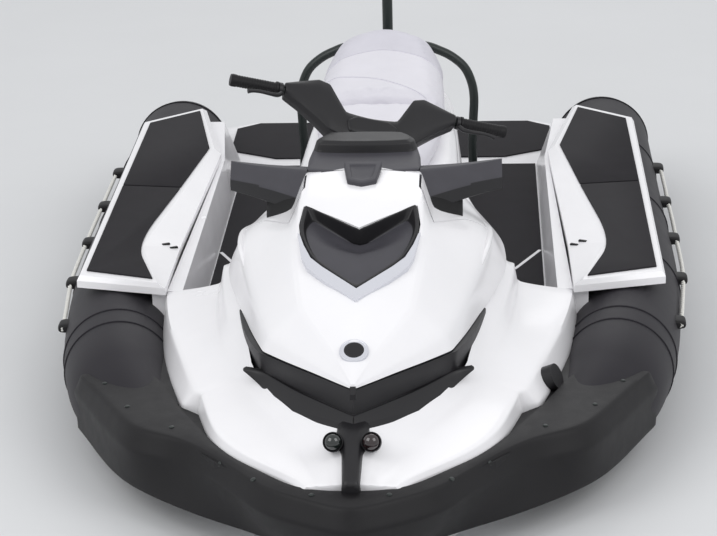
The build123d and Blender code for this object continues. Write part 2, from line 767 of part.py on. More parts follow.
# Fuel cap on the port bevel
CAP_R = 34.0
CAP_SPOT = (HALF_BEAM - 132, -960, 262)


def make_fuel_cap():
    plane = Plane(origin=CAP_SPOT, x_dir=(0, 1, 0), z_dir=(0.86, -0.3, 0.42))
    return plane * Cylinder(CAP_R, 34, align=(Align.CENTER, Align.CENTER, Align.MIN)) - deck


# Jet pump
LUG_Z = 80.0
LUG_PIN_R = 6.0
HUB_R = 32.0
STATOR_Y = PUMP_REAR_Y - 90
MOUTH_R = PUMP_R + 8
MOUTH_REAR_Y = PUMP_FRONT_Y + 19


def make_pump():
    outer = rod((0, PUMP_FRONT_Y, PUMP_Z), (0, PUMP_REAR_Y, PUMP_Z), PUMP_R + PUMP_WALL)
    inner = rod((0, PUMP_FRONT_Y - 1, PUMP_Z), (0, STATOR_Y, PUMP_Z), PUMP_R)
    cone = rod((0, STATOR_Y, PUMP_Z), (0, PUMP_REAR_Y + 1, PUMP_Z), PUMP_R, 48)
    flange = Pos(0, PUMP_FRONT_Y - 8, PUMP_Z) * Box(2 * TUNNEL_X, 16, 184)
    collar = rod((0, PUMP_FRONT_Y - 2, PUMP_Z), (0, MOUTH_REAR_Y + 6, PUMP_Z), MOUTH_R + 5)
    mouth = rod((0, PUMP_FRONT_Y - 20, PUMP_Z), (0, MOUTH_REAR_Y, PUMP_Z), MOUTH_R)
    lugs = None
    for side in (-1, 1):
        lug = Pos(side * (PUMP_R + PUMP_WALL - 4), (PUMP_REAR_Y + BUCKET_Y) / 2 - 20, PUMP_Z) * Box(
            10, BUCKET_Y - PUMP_REAR_Y + 80, 44)
        lugs = lug if lugs is None else lugs + lug
        ear = Pos(0, (PUMP_REAR_Y + NOZZLE_Y) / 2, PUMP_Z + side * LUG_Z) * Box(
            30, NOZZLE_Y - PUMP_REAR_Y + 28, 10)
        lugs = lugs + ear
    pin_hole = rod((0, NOZZLE_Y, PUMP_Z - LUG_Z - 20), (0, NOZZLE_Y, PUMP_Z + LUG_Z + 20), LUG_PIN_R + 0.3)
    return (outer + flange + collar + lugs) - mouth - inner - cone - pin_hole


def make_impeller():
    """Shaft, hub and three blades."""
    front, middle, rear = PUMP_FRONT_Y + 20, PUMP_FRONT_Y + 60, PUMP_FRONT_Y + 100
    shaft = rod((0, TUNNEL_FRONT_Y - 115, PUMP_Z), (0, middle, PUMP_Z), SHAFT_R)
    hub = rod((0, front - 5, PUMP_Z), (0, rear + 10, PUMP_Z), 20, HUB_R)
    disc = rod((0, front, PUMP_Z), (0, rear, PUMP_Z), PUMP_R - BLADE_GAP)
    wheel = shaft + hub
    for i in range(3):
        blade = Rot(0, 120 * i, 0) * (Pos(0, 0, 46) * (Rot(0, 0, 38) * Box(5, 66, 74)))
        wheel = wheel + ((Pos(0, middle, PUMP_Z) * blade) & disc)
    return wheel


def make_stator():
    """Cone and straight vanes behind the impeller, part of the pump housing."""
    body = rod((0, STATOR_Y - 4, PUMP_Z), (0, PUMP_REAR_Y - 15, PUMP_Z), HUB_R - 2, 12)
    for i in range(4):
        turn = math.radians(45 + 90 * i)
        x, z = math.sin(turn), math.cos(turn)
        corners = ((STATOR_Y, -1), (STATOR_Y, 1), (STATOR_Y + 45, 1), (STATOR_Y + 45, -1))
        wires = []
        for r in (10, PUMP_R + 2):
            points = [Vector(r * x + 3 * z * k, y, PUMP_Z + r * z - 3 * x * k) for y, k in corners]
            wires.append(Wire.make_polygon(points, close=True))
        body = body + Solid.make_loft(wires, ruled=True)
    return body


NOZZLE_IN_R = 58.0
NOZZLE_OUT_R = 44.0
NOZZLE_WALL = 6.0


def make_nozzle():
    """Outlet that swings on the pump, built straight and then turned."""
    outer = rod((0, NOZZLE_Y - NOZZLE_LEAD, PUMP_Z), (0, NOZZLE_Y + NOZZLE_LENGTH, PUMP_Z), NOZZLE_IN_R + NOZZLE_WALL,
                NOZZLE_OUT_R + NOZZLE_WALL)
    pins = rod((0, NOZZLE_Y, PUMP_Z - LUG_Z - 6), (0, NOZZLE_Y, PUMP_Z + LUG_Z + 6), LUG_PIN_R)
    inner = rod((0, NOZZLE_Y - NOZZLE_LEAD - 1, PUMP_Z), (0, NOZZLE_Y + NOZZLE_LENGTH + 1, PUMP_Z),
                NOZZLE_IN_R, NOZZLE_OUT_R)
    nozzle = (outer + pins) - inner
    turn = Pos(0, NOZZLE_Y, PUMP_Z) * Rot(0, 0, NOZZLE_TURN) * Pos(0, -NOZZLE_Y, -PUMP_Z)
    return turn * nozzle


BUCKET_START = 20.0         # angles up from straight aft
BUCKET_SWEEP = 72.0


def make_bucket():
    """Curved reverse gate with side arms, swung up over the outlet."""
    steps = 6
    outer, inner = [], []
    for i in range(steps + 1):
        a = math.radians(BUCKET_START + BUCKET_SWEEP * i / steps)
        outer.append(((BUCKET_R + BUCKET_WALL) * math.cos(a), (BUCKET_R + BUCKET_WALL) * math.sin(a)))
        inner.append((BUCKET_R * math.cos(a), BUCKET_R * math.sin(a)))
    ring = outer + inner[::-1]
    points = [Vector(-BUCKET_X, BUCKET_Y + u, PUMP_Z + v) for u, v in ring]
    gate = Solid.extrude(Face(Wire.make_polygon(points, close=True)), Vector(2 * BUCKET_X, 0, 0))
    cheek = outer + [(-12, 14), (-12, -14), (14, -14)]
    for side in (-1, 1):
        corner = [Vector(side * BUCKET_X, BUCKET_Y + u, PUMP_Z + v) for u, v in cheek]
        cheek_face = Face(Wire.make_polygon(corner, close=True))
        gate = gate + Solid.extrude(cheek_face, Vector(side * BUCKET_WALL, 0, 0))
    return gate


def bucket_pins():
    pins = None
    for side in (-1, 1):
        pin = rod((side * 80, BUCKET_Y, PUMP_Z), (side * (BUCKET_X + BUCKET_WALL + 4), BUCKET_Y, PUMP_Z), 7)
        pins = pin if pins is None else pins + pin
    return pins


RIDE_PLATE_Z = -216.0
RIDE_PLATE_END_Y = TRANSOM_Y + 40


def make_ride_plate():
    middle_y = (PUMP_FRONT_Y + RIDE_PLATE_END_Y) / 2
    plate = Pos(0, middle_y, RIDE_PLATE_Z) * Box(2 * TUNNEL_X, RIDE_PLATE_END_Y - PUMP_FRONT_Y, 8)
    fins = None
    for x in (-90, -45, 45, 90):
        fin = Pos(x, middle_y, RIDE_PLATE_Z - 7) * Box(6, RIDE_PLATE_END_Y - PUMP_FRONT_Y - 40, 8)
        fins = fin if fins is None else fins + fin
    return plate + fins


GRATE_Z = -222.0


def make_intake_grate():
    grate = None
    for y in (INTAKE_FRONT_Y + 8, TUNNEL_FRONT_Y - 8):
        bar = Pos(0, y, GRATE_Z) * Box(2 * INTAKE_HALF, 14, 14)
        grate = bar if grate is None else grate + bar
    for x in (-48, -16, 16, 48):
        middle_y = (INTAKE_FRONT_Y + TUNNEL_FRONT_Y) / 2
        grate = grate + Pos(x, middle_y, GRATE_Z) * Box(9, TUNNEL_FRONT_Y - INTAKE_FRONT_Y - 16, 16)
    return grate


# Folding boarding step on the transom
STEP_X = -350.0
STEP_HALF = 120.0
STEP_PIVOT_Z = -50.0
STEP_PIVOT_Y = TRANSOM_Y + 28.0
STEP_ARM = 118.0
STEP_BAR_R = 11.0


def make_step():
    top_y, top_z = STEP_PIVOT_Y + 6, STEP_PIVOT_Z + STEP_ARM
    left, right = STEP_X - STEP_HALF, STEP_X + STEP_HALF
    hoop = pipe([(left, STEP_PIVOT_Y, STEP_PIVOT_Z), (left, top_y, top_z), (right, top_y, top_z),
                 (right, STEP_PIVOT_Y, STEP_PIVOT_Z)], STEP_BAR_R, 30)
    axle = rod((left - 36, STEP_PIVOT_Y, STEP_PIVOT_Z), (right + 36, STEP_PIVOT_Y, STEP_PIVOT_Z), 8)
    return hoop + axle


def make_step_brackets():
    brackets = None
    for side in (-1, 1):
        x = STEP_X + side * (STEP_HALF + 30)
        piece = Pos(x, TRANSOM_Y + 20, STEP_PIVOT_Z) * Box(12, 40, 40)
        piece = piece - rod((x - 20, STEP_PIVOT_Y, STEP_PIVOT_Z), (x + 20, STEP_PIVOT_Y, STEP_PIVOT_Z), 8.5)
        brackets = piece if brackets is None else brackets + piece
    return brackets


EYE_R = 14.0
EYE_WIRE = 6.0
EYE_X = 535.0
EYE_Z = 40.0
BOW_EYE_Y = -1554.0
BOW_EYE_Z = -42.0


def make_eye(x, y, z):
    """Towing eye: a ring standing fore and aft on the hull."""
    return Pos(x, y, z) * (Rot(0, 90, 0) * Torus(EYE_R + EYE_WIRE, EYE_WIRE))


def make_engine():
    return Pos(0, ENGINE_Y, ENGINE_Z) * Box(*ENGINE_SIZE)


# Grab line along the collar, from holder to holder
LINE_R = 7.0
LINE = [(868, -450, 215), (886, -250, 209), (904, -60, 215), (910, 120, 208), (908, 300, 215), (912, 480, 207),
        (908, 660, 215), (912, 840, 208), (908, 1040, 215)]
HOLDERS = [(872, -420), (904, -60), (908, 300), (908, 660), (908, 1020)]
LINE_Z = 215.0
HOLDER_SIZE = (26.0, 60.0, 34.0)


def make_line():
    return pipe(LINE, LINE_R, 40)


def make_holders(tube, rope):
    row = None
    for x, y in HOLDERS:
        block = Pos(x - 18, y, LINE_Z) * Box(HOLDER_SIZE[0] + 34, HOLDER_SIZE[1], HOLDER_SIZE[2])
        row = block if row is None else row + block
    return row - tube - rope


PARTS = {}
upper = make_upper_body()
bore = stem_bore()
pocket = glove_pocket()
hull = make_hull()
grille = make_grille()
lip = make_grille_lip(grille)
post = make_post()
light = make_bow_light()
deck = make_bow_deck() - grille - lip - post - light - flip(light) - hinge_slot()
cap = make_fuel_cap()
rail = make_rub_rail() - post
tube_port = make_tube()
tubes = [tube_port, flip(tube_port)]
bar = make_handlebar()
rope = make_line()
mast = make_mast()
lid = (make_lid() - make_badge() - make_latch() - make_vent_trim()) + make_lid_arm()
console = make_console()

PARTS["hull"] = hull
PARTS["engine_block"] = make_engine()
PARTS["bow_deck"] = deck
PARTS["rub_rail"] = rail
PARTS["bow_fender"] = make_fender(tubes)
PARTS["pedestal"] = make_pedestal() + make_seat_base()
top = (upper + make_neck() + make_glove_frame()) - console - bore - pocket
PARTS["upper_body"] = (top - glove_groove()) + glove_pins(GLOVE_PIN_R)
PARTS["console"] = console
PARTS["storage_lid"] = lid
PARTS["lid_vent"] = make_vent()
PARTS["lid_trim"] = Compound([make_vent_trim() - make_vent(), make_badge()])
PARTS["lid_latch"] = make_latch()
PARTS["front_grille"] = (grille + lip) - hinge_slot() + hinge_pin()
PARTS["bow_post"] = post - grille - lip - light - flip(light)
PARTS["bow_light_port"] = light
PARTS["bow_light_starboard"] = flip(light)
PARTS["fuel_cap"] = cap - rail
PARTS["handlebar"] = bar
PARTS["handlebar_cover"] = make_cover(bar)
PARTS["grips"] = Compound([make_grip(1), make_grip(-1)])
PARTS["levers"] = Compound([make_lever(1), make_lever(-1)])
PARTS["seat_rider"] = make_seat(RIDER_TABLE)
PARTS["seat_passenger"] = make_seat(PASSENGER_TABLE)
PARTS["grab_hoop"] = make_hoop() - hull
PARTS["mast"] = mast
PARTS["mast_light"] = make_mast_light()
PARTS["glove_lid"] = make_glove_lid()
PARTS["stern_platform"] = make_stern_platform()
PARTS["jet_pump"] = make_pump() + make_stator() + bucket_pins()
PARTS["impeller"] = make_impeller()
PARTS["steering_nozzle"] = make_nozzle()
PARTS["reverse_bucket"] = make_bucket() - rod((-130, BUCKET_Y, PUMP_Z), (130, BUCKET_Y, PUMP_Z), 7.5)
PARTS["ride_plate"] = make_ride_plate()
PARTS["intake_grate"] = make_intake_grate()
PARTS["boarding_step"] = make_step()
PARTS["step_brackets"] = make_step_brackets()
eye = make_eye(EYE_X, TRANSOM_Y + EYE_R + EYE_WIRE, EYE_Z)
PARTS["tow_eyes"] = Compound([make_eye(0, BOW_EYE_Y, BOW_EYE_Z) - hull, eye - hull, flip(eye) - hull])

pairs = {
    "collar": tube_port,
    "platform": make_platform(),
}
for name, shape in pairs.items():
    PARTS[f"{name}_port"] = shape
    PARTS[f"{name}_starboard"] = flip(shape)

twins = {
    "platform_mats": make_platform_mat(),
    "side_walls": make_side_wall(),
    "mirrors": make_mirror(),
    "grab_line": rope,
    "line_holders": make_holders(tube_port, rope),
}
for name, shape in twins.items():
    PARTS[name] = Compound([shape, flip(shape)])
well_mat = make_well_mat()
PARTS["deck_mats"] = Compound([well_mat, flip(well_mat), make_stern_mat()])

for name, shape in PARTS.items():
    save(name, shape)
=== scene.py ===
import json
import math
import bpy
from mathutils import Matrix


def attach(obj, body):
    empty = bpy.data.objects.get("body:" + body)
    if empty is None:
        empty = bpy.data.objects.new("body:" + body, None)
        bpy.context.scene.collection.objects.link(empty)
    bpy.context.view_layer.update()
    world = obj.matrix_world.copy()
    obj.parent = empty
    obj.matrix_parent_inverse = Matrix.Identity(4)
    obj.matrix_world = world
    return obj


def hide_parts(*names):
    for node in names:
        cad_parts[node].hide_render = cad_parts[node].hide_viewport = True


bl_info = {
    "name": "Collared jet watercraft",
    "version": (1, 0, 0),
    "blender": (4, 5, 0),
    "location": "3D View > Sidebar > Watercraft",
    "description": "Dresses the packed watercraft: gelcoat shells, collar, fender, seat, mats and fittings",
    "category": "Object",
}

import bmesh
import bpy
from bpy.props import FloatProperty, FloatVectorProperty, IntProperty, PointerProperty
from mathutils import Matrix, Vector

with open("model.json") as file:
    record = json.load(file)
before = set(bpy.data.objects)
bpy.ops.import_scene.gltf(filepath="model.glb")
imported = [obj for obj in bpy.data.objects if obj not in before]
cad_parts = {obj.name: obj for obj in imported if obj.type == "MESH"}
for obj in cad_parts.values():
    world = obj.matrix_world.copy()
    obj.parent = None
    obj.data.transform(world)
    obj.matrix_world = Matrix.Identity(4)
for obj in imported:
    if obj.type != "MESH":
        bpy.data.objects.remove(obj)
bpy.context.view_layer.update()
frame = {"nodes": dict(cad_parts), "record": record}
NODES = frame["nodes"]
SLOTS = {row["node"]: row["material_slot"] for row in frame["record"]["subparts"]}
MM = 0.001
# Angle in degrees past which an edge stays sharp
SHARP = 38


def linear(code):
    """sRGB hex to the linear colour that the shaders take."""
    values = [int(code[i:i + 2], 16) / 255 for i in (0, 2, 4)]
    return [v / 12.92 if v <= 0.04045 else ((v + 0.055) / 1.055) ** 2.4 for v in values]


class WatercraftSizes(bpy.types.PropertyGroup):
    shut_line: FloatProperty(
        name="Shut line", description="Gap round the storage lid", default=0.006, min=0.003, max=0.012, unit="LENGTH")
    rope_width: FloatProperty(
        name="Grab line", description="Diameter of the grab line", default=0.0136, min=0.008, max=0.016, unit="LENGTH")
    grip_ribs: IntProperty(
        name="Grip ribs", description="Number of raised rings on each handle grip", default=14, min=4, max=24)
    seam_bead: FloatProperty(
        name="Seam bead", description="Width of the welded seams on the seat", default=0.004, min=0.002, max=0.012,
        unit="LENGTH")


class WatercraftColours(bpy.types.PropertyGroup):
    gelcoat: FloatVectorProperty(
        name="Gelcoat", description="Hull, deck and lid", default=linear("F3F2F4"), subtype="COLOR", min=0, max=1)
    collar: FloatVectorProperty(
        name="Collar fabric", description="Air tubes along the sides", default=linear("252328"), subtype="COLOR",
        min=0, max=1)
    fender: FloatVectorProperty(
        name="Fender rubber", description="Bow fender and rails", default=linear("161517"), subtype="COLOR",
        min=0, max=1)
    mats: FloatVectorProperty(
        name="Deck mats", description="Foam mats on platforms and footwells", default=linear("1E1C20"),
        subtype="COLOR", min=0, max=1)
    cover: FloatVectorProperty(
        name="Seat cover", description="Pale seat cover", default=linear("DCDAE1"), subtype="COLOR", min=0, max=1)
    cover_band: FloatVectorProperty(
        name="Seat band", description="Darker zone at the rear of the seat", default=linear("D0CED7"),
        subtype="COLOR", min=0, max=1)


def sizes():
    return bpy.context.scene.watercraft_sizes


def colours():
    return bpy.context.scene.watercraft_colours


def add_node(tree, kind, settings=None, links=None):
    """Adds a node, sets its properties or sockets, and links its sockets from (node, output)."""
    node = tree.nodes.new(kind)
    for name, value in (settings or {}).items():
        if isinstance(name, int) or name in node.inputs:
            node.inputs[name].default_value = value
        else:
            setattr(node, name, value)
    for name, (source, output) in (links or {}).items():
        tree.links.new(source.outputs[output], node.inputs[name])
    return node


def new_material(name, colour, roughness, others=None):
    """A surface with its uniform values on the shader's own sockets."""
    material = bpy.data.materials.new(name)
    material.use_nodes = True
    tree = material.node_tree
    shader = tree.nodes["Principled BSDF"]
    values = {"Base Color": [*colour, 1], "Roughness": roughness, **(others or {})}
    for socket, value in values.items():
        shader.inputs[socket].default_value = value
    return material, tree, shader


def mottle(tree, shader, colour, spread, size_mm, roughness=None):
    """Soft patches of one finish, spread either side of its colour, each about size_mm across."""
    coords = add_node(tree, "ShaderNodeTexCoord")
    noise = add_node(tree, "ShaderNodeTexNoise", {"Scale": 1 / (size_mm * MM), "Detail": 5.0, "Roughness": 0.6},
                     {"Vector": (coords, "Object")})
    ramp = add_node(tree, "ShaderNodeValToRGB", links={"Fac": (noise, "Fac")})
    for element, spot, factor in zip(ramp.color_ramp.elements, (0.35, 0.65), (1 - spread, 1 + spread)):
        element.position = spot
        element.color = [*(min(1.0, c * factor) for c in colour), 1]
    tree.links.new(ramp.outputs["Color"], shader.inputs["Base Color"])
    if roughness:
        uneven = add_node(tree, "ShaderNodeMapRange", {"To Min": roughness[0], "To Max": roughness[1]},
                          {"Value": (noise, "Fac")})
        tree.links.new(uneven.outputs["Result"], shader.inputs["Roughness"])


def emboss(tree, shader, kind, output, settings, depth_mm, strength=1.0):
    """Relief from a pattern of a real spacing and depth."""
    coords = add_node(tree, "ShaderNodeTexCoord")
    pattern = add_node(tree, kind, settings, {"Vector": (coords, "Object")})
    bump = add_node(tree, "ShaderNodeBump", {"Distance": depth_mm * MM, "Strength": strength},
                    {"Height": (pattern, output)})
    tree.links.new(bump.outputs["Normal"], shader.inputs["Normal"])


# Each finish: the material's name, its colour as a hex value or as one of the colours above, roughness, patches
# (spread either side of the colour, size in mm, and the roughness range where it varies), grain (spacing and depth
# in mm, with a strength where it is pressed in cells) and the shader's other values
FINISHES = {
    # Polyester gelcoat, sprayed in a polished mould: a wet gloss that handling has dulled in soft patches
    "gelcoat_white": ("gelcoat_polished", "gelcoat", 0.24, (0.012, 260, (0.18, 0.32)), None,
                      {"Coat Weight": 0.3, "Coat Roughness": 0.1}),
    # Rubber-coated woven fabric drawn tight by air: dull, with a weave drawn at 2 mm so that it shows
    "fabric_grey": ("collar_fabric_coated", "collar", 0.6, (0.07, 90, (0.48, 0.64)), (2.0, 0.12),
                    {"Sheen Weight": 0.03, "Specular IOR Level": 0.25}),
    # Closed-cell rubber moulding: near black, greyer where boots and quays rub its top
    "rubber_black": ("fender_rubber_moulded", "fender", 0.5, (0.14, 45, (0.42, 0.62)), (3.0, 0.25),
                     {"Specular IOR Level": 0.3}),
    # Closed-cell foam sheet with a brushed face: no gloss, nap 2 mm apart, footprints a little paler
    "mat_charcoal": ("foam_mat_brushed", "mats", 0.88, (0.09, 60), (2.0, 0.5), {"Specular IOR Level": 0.4}),
    # Injection-moulded ABS, spark-eroded texture at 1.5 mm: satin black that catches a soft sky line
    "plastic_black": ("abs_textured", "171619", 0.42, (0.06, 70, (0.38, 0.52)), (1.5, 0.1),
                      {"Specular IOR Level": 0.45}),
    # The same ABS in a paler grey on the cowl, vent scoop and latch; on the mirrors it is the lit copy over an
    # underside of painted shade
    "plastic_grey": ("abs_weathered", "3E3D43", 0.5, (0.08, 60, (0.44, 0.6)), (1.5, 0.12),
                     {"Specular IOR Level": 0.45}),
    # Silver lacquer on a plastic moulding: fine flake 1 mm apart under a clear coat
    "silver_trim": ("silver_lacquer", "D6D7DE", 0.32, (0.05, 1.0), None, {"Metallic": 0.35, "Coat Weight": 0.4}),
    # Coated marine vinyl, embossed with a leather grain 3 mm across, with a soft sheen
    "seat_vinyl": ("seat_cover_vinyl", "cover", 0.46, (0.02, 120), (3.0, 0.25, 0.5), {"Sheen Weight": 0.1}),
    # The same vinyl in the darker shade of the rear zone
    "seat_band": ("seat_band_vinyl", "cover_band", 0.5, (0.03, 100), (3.0, 0.2), {"Sheen Weight": 0.1}),
    # Steel tube under a green-black powder coat: satin with a faint orange peel 4 mm across
    "steel_dark": ("powder_coated_steel", "1C2422", 0.36, (0.08, 60, (0.3, 0.44)), (4.0, 0.08), {}),
    # Stainless bar, brushed: pale metal whose polish varies over 8 mm
    "steel_bright": ("stainless_brushed", "C6C7C9", 0.28, (0.05, 8, (0.22, 0.4)), None, {"Metallic": 1.0}),
    # Sand-cast aluminium: grey metal with a 3 mm sand skin
    "aluminium_cast": ("aluminium_cast", "AEB0B2", 0.5, (0.07, 25, (0.42, 0.6)), (3.0, 0.3), {"Metallic": 1.0}),
    # Clear acrylic over a coloured reflector: deep colour, hard gloss, prisms 4 mm apart
    "lens_red": ("acrylic_red", "1C090B", 0.1, (0.15, 4), None, {"Coat Weight": 1.0, "Coat Roughness": 0.03}),
    "lens_green": ("acrylic_green", "0A1411", 0.1, (0.15, 4), None, {"Coat Weight": 1.0, "Coat Roughness": 0.03}),
    "lens_white": ("acrylic_white", "DDE2E4", 0.1, (0.15, 4), None, {"Coat Weight": 1.0, "Coat Roughness": 0.03}),
    # Braided polyester rope: off-white, each yarn 3 mm wide and a little dirty between strands
    "rope_white": ("polyester_braided", "E6E5DF", 0.75, (0.06, 9), (3.0, 0.5), {"Sheen Weight": 0.2}),
    # Silvered flat glass behind a clear face
    "mirror_glass": ("mirror_glass", "CDD2D6", 0.03, (0.01, 200), None, {"Metallic": 1.0}),
    # Dark polycarbonate over an unlit display
    "display": ("display_polycarbonate", "0D0F12", 0.12, (0.1, 30), None, {"Coat Weight": 1.0}),
    # Dark unpainted polypropylene, darker than the black ABS: painted shade on the mirror roots, under the mat splits
    # and in the platform slots, and the plain dark colour of the stem's boot, the screen frame and the switch keys
    "shadow_plastic": ("polypropylene_moulded", "0C0B0D", 0.6, (0.1, 40), (2.0, 0.1), {"Specular IOR Level": 0.3}),
}
MATERIALS = {}
# Edge radius, in mm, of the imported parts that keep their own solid
ROUNDED = {"side_walls": 8, "platform_port": 6, "platform_starboard": 6, "rub_rail": 4, "stern_platform": 8,
           "hull": 6, "glove_lid": 3, "deck_mats": 1.5}


def make_finish(name, colour, roughness, patches, grain, others):
    base = getattr(colours(), colour) if colour.islower() else linear(colour)
    material, tree, shader = new_material(name, base, roughness, others)
    mottle(tree, shader, base, *patches)
    if grain:
        spacing, depth, *strength = grain
        scale = 1 / (spacing * MM)
        if strength:
            cells = {"Scale": scale, "feature": "SMOOTH_F1"}
            emboss(tree, shader, "ShaderNodeTexVoronoi", "Distance", cells, depth, *strength)
        else:
            emboss(tree, shader, "ShaderNodeTexNoise", "Fac", {"Scale": scale, "Detail": 2.0}, depth)
    return material


class WATERCRAFT_OT_finishes(bpy.types.Operator):
    """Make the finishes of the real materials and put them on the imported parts"""
    bl_idname = "watercraft.finishes"
    bl_label = "Finishes"

    def execute(self, context):
        MATERIALS.update({slot: make_finish(*row) for slot, row in FINISHES.items()})
        MATERIALS["engine_grey"] = MATERIALS["aluminium_cast"]
        for name, node in NODES.items():
            node.data.materials.clear()
            node.data.materials.append(MATERIALS[SLOTS[name]])
            if name in ROUNDED:
                flat = node.modifiers.new("merge_facets", "DECIMATE")
                flat.decimate_type = "DISSOLVE"
                flat.angle_limit = math.radians(1.5)
                soften(node, ROUNDED[name], angle=20)
        return {"FINISHED"}


def add_piece(name, points, faces, finish, sharp=SHARP):
    """Mesh from points in mm, smooth but for edges sharper than the angle given."""
    mesh = bpy.data.meshes.new(name)
    mesh.from_pydata([Vector(p) * MM for p in points], [], faces)
    form = bmesh.new()
    form.from_mesh(mesh)
    bmesh.ops.recalc_face_normals(form, faces=form.faces)
    form.to_mesh(mesh)
    form.free()
    mesh.materials.append(MATERIALS[finish])
    for face in mesh.polygons:
        face.use_smooth = True
    if sharp:
        mesh.set_sharp_from_angle(angle=math.radians(sharp))
    piece = bpy.data.objects.new(name, mesh)
    bpy.context.scene.collection.objects.link(piece)
    return piece


def settle(piece, body="craft", nodes=(), finish=None):
    """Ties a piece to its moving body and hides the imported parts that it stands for."""
    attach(piece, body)
    if nodes:
        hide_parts(*nodes)
        finish = finish or SLOTS[nodes[0]]
    return piece


def freeze(piece, sharp=SHARP):
    """Replaces a mesh by its evaluated form."""
    graph = bpy.context.evaluated_depsgraph_get()
    mesh = bpy.data.meshes.new_from_object(piece.evaluated_get(graph), depsgraph=graph)
    piece.modifiers.clear()
    piece.data = mesh
    if sharp:
        mesh.set_sharp_from_angle(angle=math.radians(sharp))
    return piece


def carve(piece, tool, way="DIFFERENCE"):
    """Boolean with a helper solid, which is then removed."""
    cut = piece.modifiers.new("cut", "BOOLEAN")
    cut.object = tool
    cut.operation = way
    cut.solver = "EXACT"
    freeze(piece)
    bpy.data.objects.remove(tool)
    return piece


def circle(sides):
    """Cosine and sine at even steps round a circle."""
    return [(math.cos(2 * math.pi * k / sides), math.sin(2 * math.pi * k / sides)) for k in range(sides)]


def skin(count, n, start=0):
    """Faces between count closed rings of n points, then over both ends."""
    faces = []
    for row in range(start, start + (count - 1) * n, n):
        for k in range(n):
            a, b = row + k, row + (k + 1) % n
            faces.append((a, b, b + n, a + n))
    last = start + (count - 1) * n
    return faces + [tuple(range(start + n - 1, start - 1, -1)), tuple(range(last, last + n))]


def cage(name, rings, finish, creases=None, ring_creases=None, levels=2, ends=1.0, until=99):
    """Subdivision surface through closed rings. Creases go by the place in a ring, as far as ring until, or by ring."""
    n = len(rings[0])
    piece = add_piece(name, [p for ring in rings for p in ring], skin(len(rings), n), finish, 0)
    form = bmesh.new()
    form.from_mesh(piece.data)
    layer = form.edges.layers.float.new("crease_edge")
    rows = {0: ends, len(rings) - 1: ends, **(ring_creases or {})}
    for edge in form.edges:
        a, b = (v.index for v in edge.verts)
        if a % n == b % n and min(a, b) < until * n:
            edge[layer] = (creases or {}).get(a % n, 0.0)
        elif a // n == b // n:
            edge[layer] = rows.get(a // n, 0.0)
    form.to_mesh(piece.data)
    form.free()
    smooth = piece.modifiers.new("smooth", "SUBSURF")
    smooth.levels = smooth.render_levels = levels
    return piece


def turned(name, place, profile, finish, sides=40, levels=1, ring_creases=None):
    """Round form by its profile of heights and radii. Place gives the point for two sideways steps and a height."""
    rings = [[place(c * r, s * r, height) for c, s in circle(sides)] for height, r in profile]
    return cage(name, rings, finish, None, ring_creases, levels)


def mirrored(half):
    """Closed outline, or line, of both sides from the port half of one that starts or ends on the middle line."""
    return half + [(-p[0], *p[1:]) for p in reversed(half) if p[0] > 0]


def mirrored_ring(y, half):
    """Closed ring across the craft from its port half, foot to top."""
    return [(x, y, z) for x, z in mirrored(half)]


def mirrored_creases(values, count):
    """The same creases on both sides of a mirrored ring of 2 * (count - 1) points."""
    turn = 2 * (count - 1)
    return {place % turn: value for k, value in values.items() for place in (k, turn - k)}


def across(ring, rows):
    """Rings from the starboard end of a table, through its middle row, to its port end."""
    return [ring(-1, row) for row in reversed(rows[1:])] + [ring(1, row) for row in rows]


def slab(name, low, high, finish):
    """Straight-sided solid between two outlines of as many points."""
    return add_piece(name, low + high, skin(2, len(low)), finish)


def prism(name, outline, z0, z1, finish="gelcoat_white"):
    """Straight-sided solid on a plan outline in mm."""
    return slab(name, [(x, y, z0) for x, y in outline], [(x, y, z1) for x, y in outline], finish)


class Slope:
    """Tilted plane whose first axis is +X and whose normal leans forward by lean degrees, in mm."""

    def __init__(self, y, z, lean):
        c, s = math.cos(math.radians(lean)), math.sin(math.radians(lean))
        self.origin = Vector((0, y, z))
        self.across = Vector((1, 0, 0))
        self.out = Vector((0, -s, c))
        self.up = self.out.cross(self.across)

    def at(self, x, v, lift=0.0):
        return self.origin + self.across * x + self.up * v + self.out * lift


def block_on(name, slope, outline, low, high, finish, inset=0.0):
    """Solid on a tilted plane from low to high, its top drawn in by inset."""
    centre = sum((Vector(p) for p in outline), Vector((0, 0))) / len(outline)
    top = []
    for p in outline:
        d = Vector(p) - centre
        top.append(slope.at(*(centre + d * (1 - inset / max(d.length, 1e-6))), high))
    return slab(name, [slope.at(x, v, low) for x, v in outline], top, finish)


def soften(piece, width_mm, segments=3, angle=30):
    """Rounded moulded edges on a mesh."""
    bevel = piece.modifiers.new("moulded_edge", "BEVEL")
    bevel.width = width_mm * MM
    bevel.segments = segments
    bevel.limit_method = "ANGLE"
    bevel.angle_limit = math.radians(angle)
    bevel.harden_normals = True
    return piece


def smooth_path(points, steps):
    """Points of a Catmull-Rom curve through rows of numbers."""
    rows = [Vector(p) for p in points]
    line = []
    for i in range(len(rows) - 1):
        a, b, c, d = rows[max(i - 1, 0)], rows[i], rows[i + 1], rows[min(i + 2, len(rows) - 1)]
        for s in range(steps):
            t = s / steps
            line.append(0.5 * (2 * b + (c - a) * t + (2 * a - 5 * b + 4 * c - d) * t * t
                               + (3 * b - a - 3 * c + d) * t ** 3))
    line.append(rows[-1])
    return line


def heading(line, i):
    """Direction of a line of points at one of them."""
    return (line[min(i + 1, len(line) - 1)] - line[max(i - 1, 0)]).normalized()


